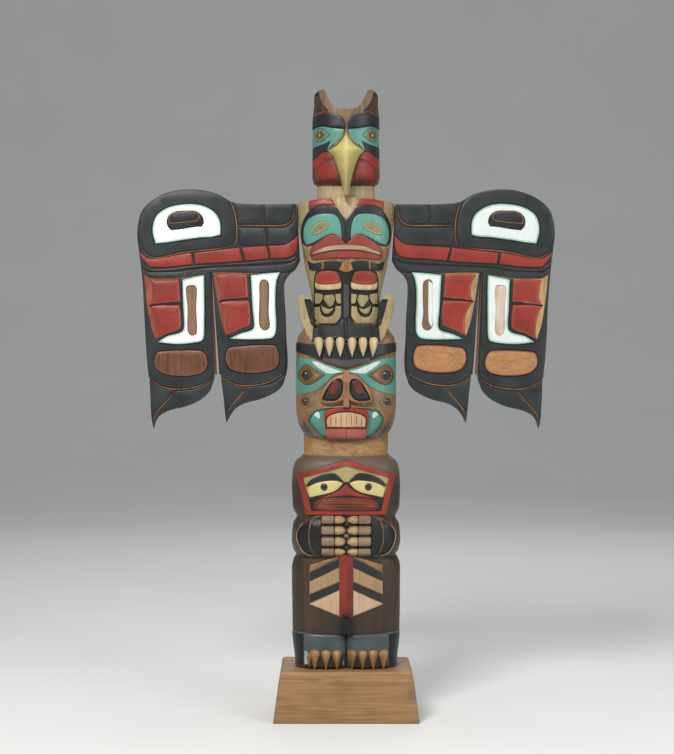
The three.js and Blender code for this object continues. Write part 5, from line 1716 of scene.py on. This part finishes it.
    slab = Slab(bird)
    ears = Layer(log, slab)
    outline = [*cuts["ear"][:5], (0.69, -0.06, SHARP), (0.79, -0.01), *cuts["ear"][6:]]
    ears.panel(outline, -4.8, 14.4, "tan", edge="tan", rim=1.0, step=1.4, lean=(392.0, 0.7))
    log.apply(ears)
    hollows = Layer(log, slab)
    inset = [(0.86, 0.262, SHARP), (0.74, 0.262), (0.676, 0.235), (0.652, 0.15), (0.65, 0.08, SHARP),
             (0.69, 0.06), (0.755, 0.12), (0.8, 0.18)]
    hollows.panel(inset, 11.4, 30.0, "black", edge="bare", rim=0.0, floor="black", step=1.3,
                  lean=(392.0, 0.7))
    log.apply(hollows, "DIFFERENCE")

    talons = Layer(log, bird)
    for side in (1, -1):
        for number, share in enumerate((0.12, 0.336, 0.556)):
            lean = (0.0, 0.3, -1.0)[number] * side

            def talon(around, along, share=share, side=side, lean=lean):
                z = bird.floor - 3.4 - 18.8 * (1 - along)
                size = smooth_rows([[0, 0.08], [0.2, 0.4], [0.5, 0.8], [0.78, 1.0], [0.94, 0.9], [1, 0.55]],
                                   along)[0]
                front = smooth_rows([[0, 36.6], [0.5, 39.4], [0.85, 38.8], [1, 36.4]], along)[0]
                angle = 2 * math.pi * around
                depth = smooth_rows([[0, 0.6], [0.4, 3.4], [1, 5.5]], along)[0]
                x = side * share * bird.half + lean * (1 - along) + math.cos(angle) * 4.35 * size
                y = -front + depth - math.sin(angle) * depth
                return Vector((x, y, z))

            talons.skin(18, 16, "ivory", talon)
    log.apply(talons)


def carve_eagle(log, eagle):
    cuts = EAGLE_CUTS
    slab = Slab(eagle)
    sky = Layer(log, slab)
    crown = cuts["crown"]
    above = [(0, 0.997), *reversed(crown[1:-1]), (1.4, 1.058, SHARP), (1.4, 1.6, SHARP), (0, 1.6, SHARP)]
    sky.panel(above, -60.0, 60.0, "horn", edge="horn", rim=0.0, step=1.3)
    log.apply(sky, "DIFFERENCE")
    behind = Layer(log, slab)
    behind.panel([(0, 0.985, SHARP), (1.3, 0.985, SHARP), (1.3, 1.7, SHARP), (0, 1.7, SHARP)], -60.0, -8.4,
                 "back", edge="back", rim=0.0)
    log.apply(behind, "DIFFERENCE")
    insets = Layer(log, eagle)
    hollow = [(1.055, 1.215, SHARP), (0.92, 1.236), (0.82, 1.262, SHARP), (0.735, 1.126), (0.634, 1.04),
              (0.5, 0.967, SHARP), (0.703, 0.962), (1.055, 0.95, SHARP)]
    insets.panel(hollow, -4.0, 8.0, "horn_dark", edge="horn_dark", rim=0.0, floor="horn_dark", step=1.2)
    log.apply(insets, "DIFFERENCE")
    under = Layer(log, eagle)
    band = [(0.05, 0.62, SHARP), (0.035, 0.78), (0.13, 0.868), (0.337, 0.91), (0.606, 0.935),
            (1.055, 0.93, SHARP), (1.055, 0.3, SHARP), (0.8, 0.35), (0.55, 0.38), (0.3, 0.47), (0.14, 0.57)]
    under.panel(band, -1.0, 0.3, "line", rim=0.2)
    # The jaw's red-brown below and beside the cheeks, dark as painted shade under them.
    cheek = [(0.2, 0.28, SHARP), (0.84, 0.285), (1.055, 0.24, SHARP), (1.055, -0.002, SHARP),
             (0.2, -0.002, SHARP)]
    under.panel(cheek, -1.0, 0.9, "jaw", rim=0.2)
    log.apply(under)
    first = Layer(log, eagle)
    first.panel(spread(cuts["eye_field"], 0.93), -1.0, 0.7, "teal", rim=0.5, step=1.2)
    upper = [(0.955, 0.171, SHARP), (0.95, 0.29), (0.84, 0.333, SHARP), (0.68, 0.383), (0.58, 0.39),
             (0.5, 0.378, SHARP), (0.423, 0.34), (0.374, 0.288, SHARP), (0.581, 0.267), (0.74, 0.232),
             (0.86, 0.18, SHARP)]
    first.panel(upper, -1.0, 1.8, "red", edge="gold", rim=0.8, step=1.2)
    lower = [(0.813, 0.164, SHARP), (0.703, 0.218), (0.532, 0.247), (0.35, 0.256, SHARP), (0.289, 0.171),
             (0.235, 0.012, SHARP), (0.484, 0.014), (0.8, 0.01, SHARP)]
    first.panel(lower, -1.0, 1.8, "red", edge="gold", rim=0.8, step=1.2)
    log.apply(first)
    second = Layer(log, eagle)
    second.panel(spread(cuts["brow"], 0.93), -1.0, 2.4, "black", rim=1.0, step=1.2)
    wedge = [(0.957, 0.457, SHARP), (0.727, 0.481), (0.484, 0.533, SHARP), (0.56, 0.46),
             (0.565, 0.392, SHARP), (0.79, 0.345), (0.959, 0.3, SHARP)]
    second.panel(spread(wedge, 0.93), -1.0, 1.1, "black", rim=0.5, step=1.2)
    log.apply(second)
    trims = Layer(log, eagle)
    for side in (1, -1):
        path = [(0.5, 0.945), (0.6, 0.957), (0.75, 0.957), (0.87, 0.945), (0.95, 0.91)]
        trims.line(eagle.string(path, side, 1.3), 1.1, "red", rise=0.4)
    log.apply(trims)
    eyes = Layer(log, eagle)
    eyes.panel(cuts["eye"], 0.0, 1.1, "teal", rim=0.3, step=1.0, rims="line",
               bands=[(0.25, 0.0, "line"), (0.8, 0.0, "teal"), (0.3, 0.0, "eye_olive")])
    log.apply(eyes)
    rings = Layer(log, eagle)
    target(rings, eagle, 0.772, 0.634, 0.2, 1.5, [(5.6, "eye_olive"), (4.8, "line"), (4.4, "pale"),
                                                  (3.7, "eye_dark")])
    log.apply(rings)
    pupils = Layer(log, eagle)
    for side in (1, -1):
        spot = eagle.place(side * 25.9, eagle.floor + 0.634 * eagle.height, 0.9)
        pupils.ball(spot, 2.0, "pale", (0.8, 0.7, 1.15), 16)
    log.apply(pupils)
    shadow = Layer(log, eagle)
    for side in (1, -1):
        path = [(0.36, 0.5), (0.42, 0.46), (0.5, 0.425), (0.56, 0.4)]
        shadow.line(eagle.string(path, side, 1.3), 1.5, "line", rise=0.6)
    log.apply(shadow, "DIFFERENCE")

    beak = Layer(log, eagle)

    def hook(around, along):
        v = -0.305 + (0.682 + 0.305) * along
        half, front = smooth_rows(BEAK_ROWS, v)
        half = max(0.5, half * eagle.half)
        front = front * eagle.front
        angle = 2 * math.pi * around
        x = half * math.copysign(abs(math.cos(angle)) ** (2 / 1.5), math.cos(angle))
        if math.sin(angle) >= 0:
            y = -21.0 - (front - 21.0) * abs(math.sin(angle)) ** (2 / 1.5)
        else:
            y = -21.0 + 5.0 * abs(math.sin(angle))
        return Vector((x, y, eagle.floor + v * eagle.height))

    beak.skin(36, 40, "yellow", hook)
    for face in beak.sheet.faces:
        if face.calc_center_median().z < eagle.floor - 0.225 * eagle.height:
            face.material_index = log.index("seam")
    log.apply(beak)

    seam = Layer(log, eagle)
    for side in (1, -1):
        spots = []
        for number in range(12):
            v = 0.43 + 0.25 * number / 11
            half, front = smooth_rows(BEAK_ROWS, v)
            spots.append((side * half * eagle.half * 0.98, eagle.floor + v * eagle.height + 0.5))
        seam.line(spots, 1.3, "gold", rise=1.0)
    log.apply(seam)


def carve_pole(name, colours):
    """The log: plain forms first, then each figure's fields from its ground up."""
    log = Carving(name, pole_finishes(colours))
    bear = Figure(49.3, 209, 54, 34, BEAR_ROWS)
    bear.valley = (6.5, 4.6, 100.5, 88.0)
    lower_neck = Figure(256.3, 22, 42, 26, LOWER_NECK_ROWS)
    mask = Figure(274.3, 104, 50, 32, MASK_ROWS)
    bird = Figure(378.3, 132, 48.5, 27, THUNDERBIRD_ROWS)
    upper_neck = Figure(508.3, 26, 28.7, 20, UPPER_NECK_ROWS)
    jaw = Figure(523.8, 8, 33.5, 28, JAW_ROWS)
    eagle = Figure(530.3, 70, 33.5, 28, EAGLE_ROWS)

    log.apply(ground(log, bear, 49.3, 258.3, 2.5, face_or_back("hide")))
    log.apply(ground(log, lower_neck, 256.3, 278.3, 5.0, face_or_back("neck")))
    log.apply(ground(log, mask, 274.3, 384.0, 2.5, face_or_back("mask_brown")))
    log.apply(ground(log, bird, 377.0, 510.3, 2.5, face_or_back("tan")))
    log.apply(ground(log, upper_neck, 508.3, 534.3, 5.0, face_or_back("throat")))
    log.apply(ground(log, jaw, 523.8, 531.8, 1.6, face_or_back("jaw")))
    log.apply(ground(log, eagle, 530.3, 624.0, 2.0,
                     lambda spot: "back" if spot.y > BACK_FROM else "jaw" if spot.z < JAW_TOP else "horn"))
    carve_bear(log, bear)
    carve_mask(log, mask)
    carve_thunderbird(log, bird)
    carve_eagle(log, eagle)
    # The log's hollows get their painted shade as it is finished.
    return log.finish(0.2, stains=POLE_STAINS)


def set_stage():
    """A pale floor that curves up behind, soft lights and the camera."""
    scene = bpy.context.scene
    sheet = bmesh.new()
    bmesh.ops.create_grid(sheet, x_segments=1, y_segments=1, size=4.0)
    back = [edge for edge in sheet.edges if all(vert.co.y > 3.9 for vert in edge.verts)]
    made = bmesh.ops.extrude_edge_only(sheet, edges=back)["geom"]
    bmesh.ops.translate(sheet, vec=(0, 0, 4.5), verts=[g for g in made if isinstance(g,
                                                                                     bmesh.types.BMVert)])
    fold = [edge for edge in sheet.edges if all(vert.co.y > 3.9 and vert.co.z < 0.1 for vert in edge.verts)]
    bmesh.ops.bevel(sheet, geom=fold, offset=2.0, segments=16, profile=0.5, affect="EDGES", material=-1)
    mesh = bpy.data.meshes.new("floor")
    sheet.to_mesh(mesh)
    sheet.free()
    mesh.shade_smooth()
    floor = bpy.data.objects.new("floor", mesh)
    scene.collection.objects.link(floor)
    pale = Finish("floor_paper")
    mottle = pale.cloud(0.004, 2.0)
    mesh.materials.append(pale.set(base_color=pale.mix(mottle, linear(214, 214, 212),
                                                       linear(222, 222, 220)), roughness=0.9,
                                   specular_ior_level=0.1))

    world = bpy.data.worlds.new("studio")
    scene.world = world
    world.use_nodes = True
    world.node_tree.nodes["Background"].inputs["Color"].default_value = (0.9, 0.95, 1.0, 1.0)
    world.node_tree.nodes["Background"].inputs["Strength"].default_value = 0.3

    def lamp(name, place, aim, size, power, colour=(1, 1, SHARP)):
        light = bpy.data.lights.new(name, "AREA")
        light.shape = "RECTANGLE"
        light.size, light.size_y = size
        light.energy = power
        light.color = colour
        lamp_object = bpy.data.objects.new(name, light)
        lamp_object.location = place
        lamp_object.rotation_euler = (Vector(aim) - Vector(place)).to_track_quat("-Z", "Y").to_euler()
        scene.collection.objects.link(lamp_object)

    middle = (0, 0, 0.33)
    lamp("key_softbox", (-0.6, -1.45, 1.45), middle, (0.6, 0.6), 35, (1.0, 0.98, 0.95))
    lamp("fill_softbox", (1.3, -1.2, 0.8), middle, (0.9, 1.1), 13, (0.95, 0.98, 1.0))
    lamp("top_softbox", (0.1, 0.1, 1.9), middle, (1.0, 0.7), 9)
    lamp("back_softbox", (0.2, 1.8, 1.3), middle, (1.1, 1.1), 6, (0.97, 0.98, 1.0))

    camera = bpy.data.cameras.new("photo_camera")
    camera.sensor_width = 36.0
    camera.lens = 36.0 * 1600 / 754
    eye = bpy.data.objects.new("photo_camera", camera)
    eye.location = (-0.009, -1.6, 0.336)
    eye.rotation_euler = (math.pi / 2, 0, 0)
    scene.collection.objects.link(eye)
    scene.camera = eye
    scene.view_settings.view_transform = "Standard"


class TotemSizes(bpy.types.PropertyGroup):
    """Sizes that a user would change."""

    base_width: bpy.props.FloatProperty(
        name="Base width", description="Width of the block's underside", default=0.142, unit="LENGTH")
    base_depth: bpy.props.FloatProperty(
        name="Base depth", description="Depth of the block's underside", default=0.102, unit="LENGTH")
    base_height: bpy.props.FloatProperty(
        name="Base height", description="Height of the block", default=0.049, unit="LENGTH")
    base_lean: bpy.props.FloatProperty(name="Base lean",
                                       description="How far each side of the block leans in", default=0.006,
                                       unit="LENGTH")
    wing_relief: bpy.props.FloatProperty(
        name="Wing relief", description="Height of the wings' carving", default=0.0016, unit="LENGTH")


def colour_choice(label, use, colour):
    """A colour that the user can pick."""
    return bpy.props.FloatVectorProperty(
        name=label, description=use, default=colour, subtype="COLOR", size=3, min=0.0, max=1.0)


class TotemColours(bpy.types.PropertyGroup):
    """Colours of the paint and of the woods."""

    red: colour_choice("Red", "Bands, lips, cheeks and ridge", linear(148, 52, 41))
    teal: colour_choice("Teal", "Fields around the eyes", linear(90, 146, 132))
    black: colour_choice("Black", "Brows, collars and feathers", linear(47, 51, 52))
    yellow: colour_choice("Yellow", "The upper bird's beak", linear(206, 192, 122))
    slate: colour_choice("Slate", "The bear's feet", linear(74, 87, 90))
    hide: colour_choice("Stained wood", "The bear's body", linear(72, 56, 42))
    tan: colour_choice("Oiled wood", "The winged bird's body", linear(172, 154, 109))
    base: colour_choice("Base wood", "The block", linear(168, 128, 83))


def dressed(piece, node):
    """Puts a finished piece in its CAD node's place."""
    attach(piece, "root")
    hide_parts(node)


class TOTEM_OT_base(bpy.types.Operator):
    """Make the block that the pole stands on"""

    bl_idname = "totem.base"
    bl_label = "Base block"

    def execute(self, context):
        scene = context.scene
        dressed(carve_base("base_block", scene.totem_sizes, scene.totem_colours), "base")
        return {"FINISHED"}


class TOTEM_OT_wings(bpy.types.Operator):
    """Make the two wing boards"""

    bl_idname = "totem.wings"
    bl_label = "Wings"

    def execute(self, context):
        sizes = context.scene.totem_sizes
        colours = context.scene.totem_colours
        dressed(carve_wing("wing_board_left", -1, sizes, colours), "wing_left")
        dressed(carve_wing("wing_board_right", 1, sizes, colours), "wing_right")
        return {"FINISHED"}


class TOTEM_OT_pole(bpy.types.Operator):
    """Make the carved log with its figures"""

    bl_idname = "totem.pole"
    bl_label = "Carved log"

    def execute(self, context):
        dressed(carve_pole("carved_pole", context.scene.totem_colours), "pole")
        return {"FINISHED"}


class TOTEM_OT_stage(bpy.types.Operator):
    """Make the floor, the lights and the camera"""

    bl_idname = "totem.stage"
    bl_label = "Studio"

    def execute(self, context):
        set_stage()
        return {"FINISHED"}


class TOTEM_PT_panel(bpy.types.Panel):
    """Lists the pieces of the totem pole"""

    bl_idname = "TOTEM_PT_panel"
    bl_label = "Totem Pole"
    bl_space_type = "VIEW_3D"
    bl_region_type = "UI"
    bl_category = "Totem Pole"

    def draw(self, context):
        for made in OPERATORS:
            self.layout.operator(made.bl_idname)
        for size in TotemSizes.__annotations__:
            self.layout.prop(context.scene.totem_sizes, size)
        for colour in TotemColours.__annotations__:
            self.layout.prop(context.scene.totem_colours, colour)


OPERATORS = (TOTEM_OT_stage, TOTEM_OT_base, TOTEM_OT_wings, TOTEM_OT_pole)
CLASSES = (TotemSizes, TotemColours, *OPERATORS, TOTEM_PT_panel)


def register():
    for each in CLASSES:
        bpy.utils.register_class(each)
    bpy.types.Scene.totem_sizes = bpy.props.PointerProperty(type=TotemSizes)
    bpy.types.Scene.totem_colours = bpy.props.PointerProperty(type=TotemColours)


def unregister():
    del bpy.types.Scene.totem_colours
    del bpy.types.Scene.totem_sizes
    for each in reversed(CLASSES):
        bpy.utils.unregister_class(each)


def main():
    register()
    bpy.ops.totem.stage()
    bpy.ops.totem.base()
    bpy.ops.totem.wings()
    bpy.ops.totem.pole()


if __name__ == "__main__":
    main()
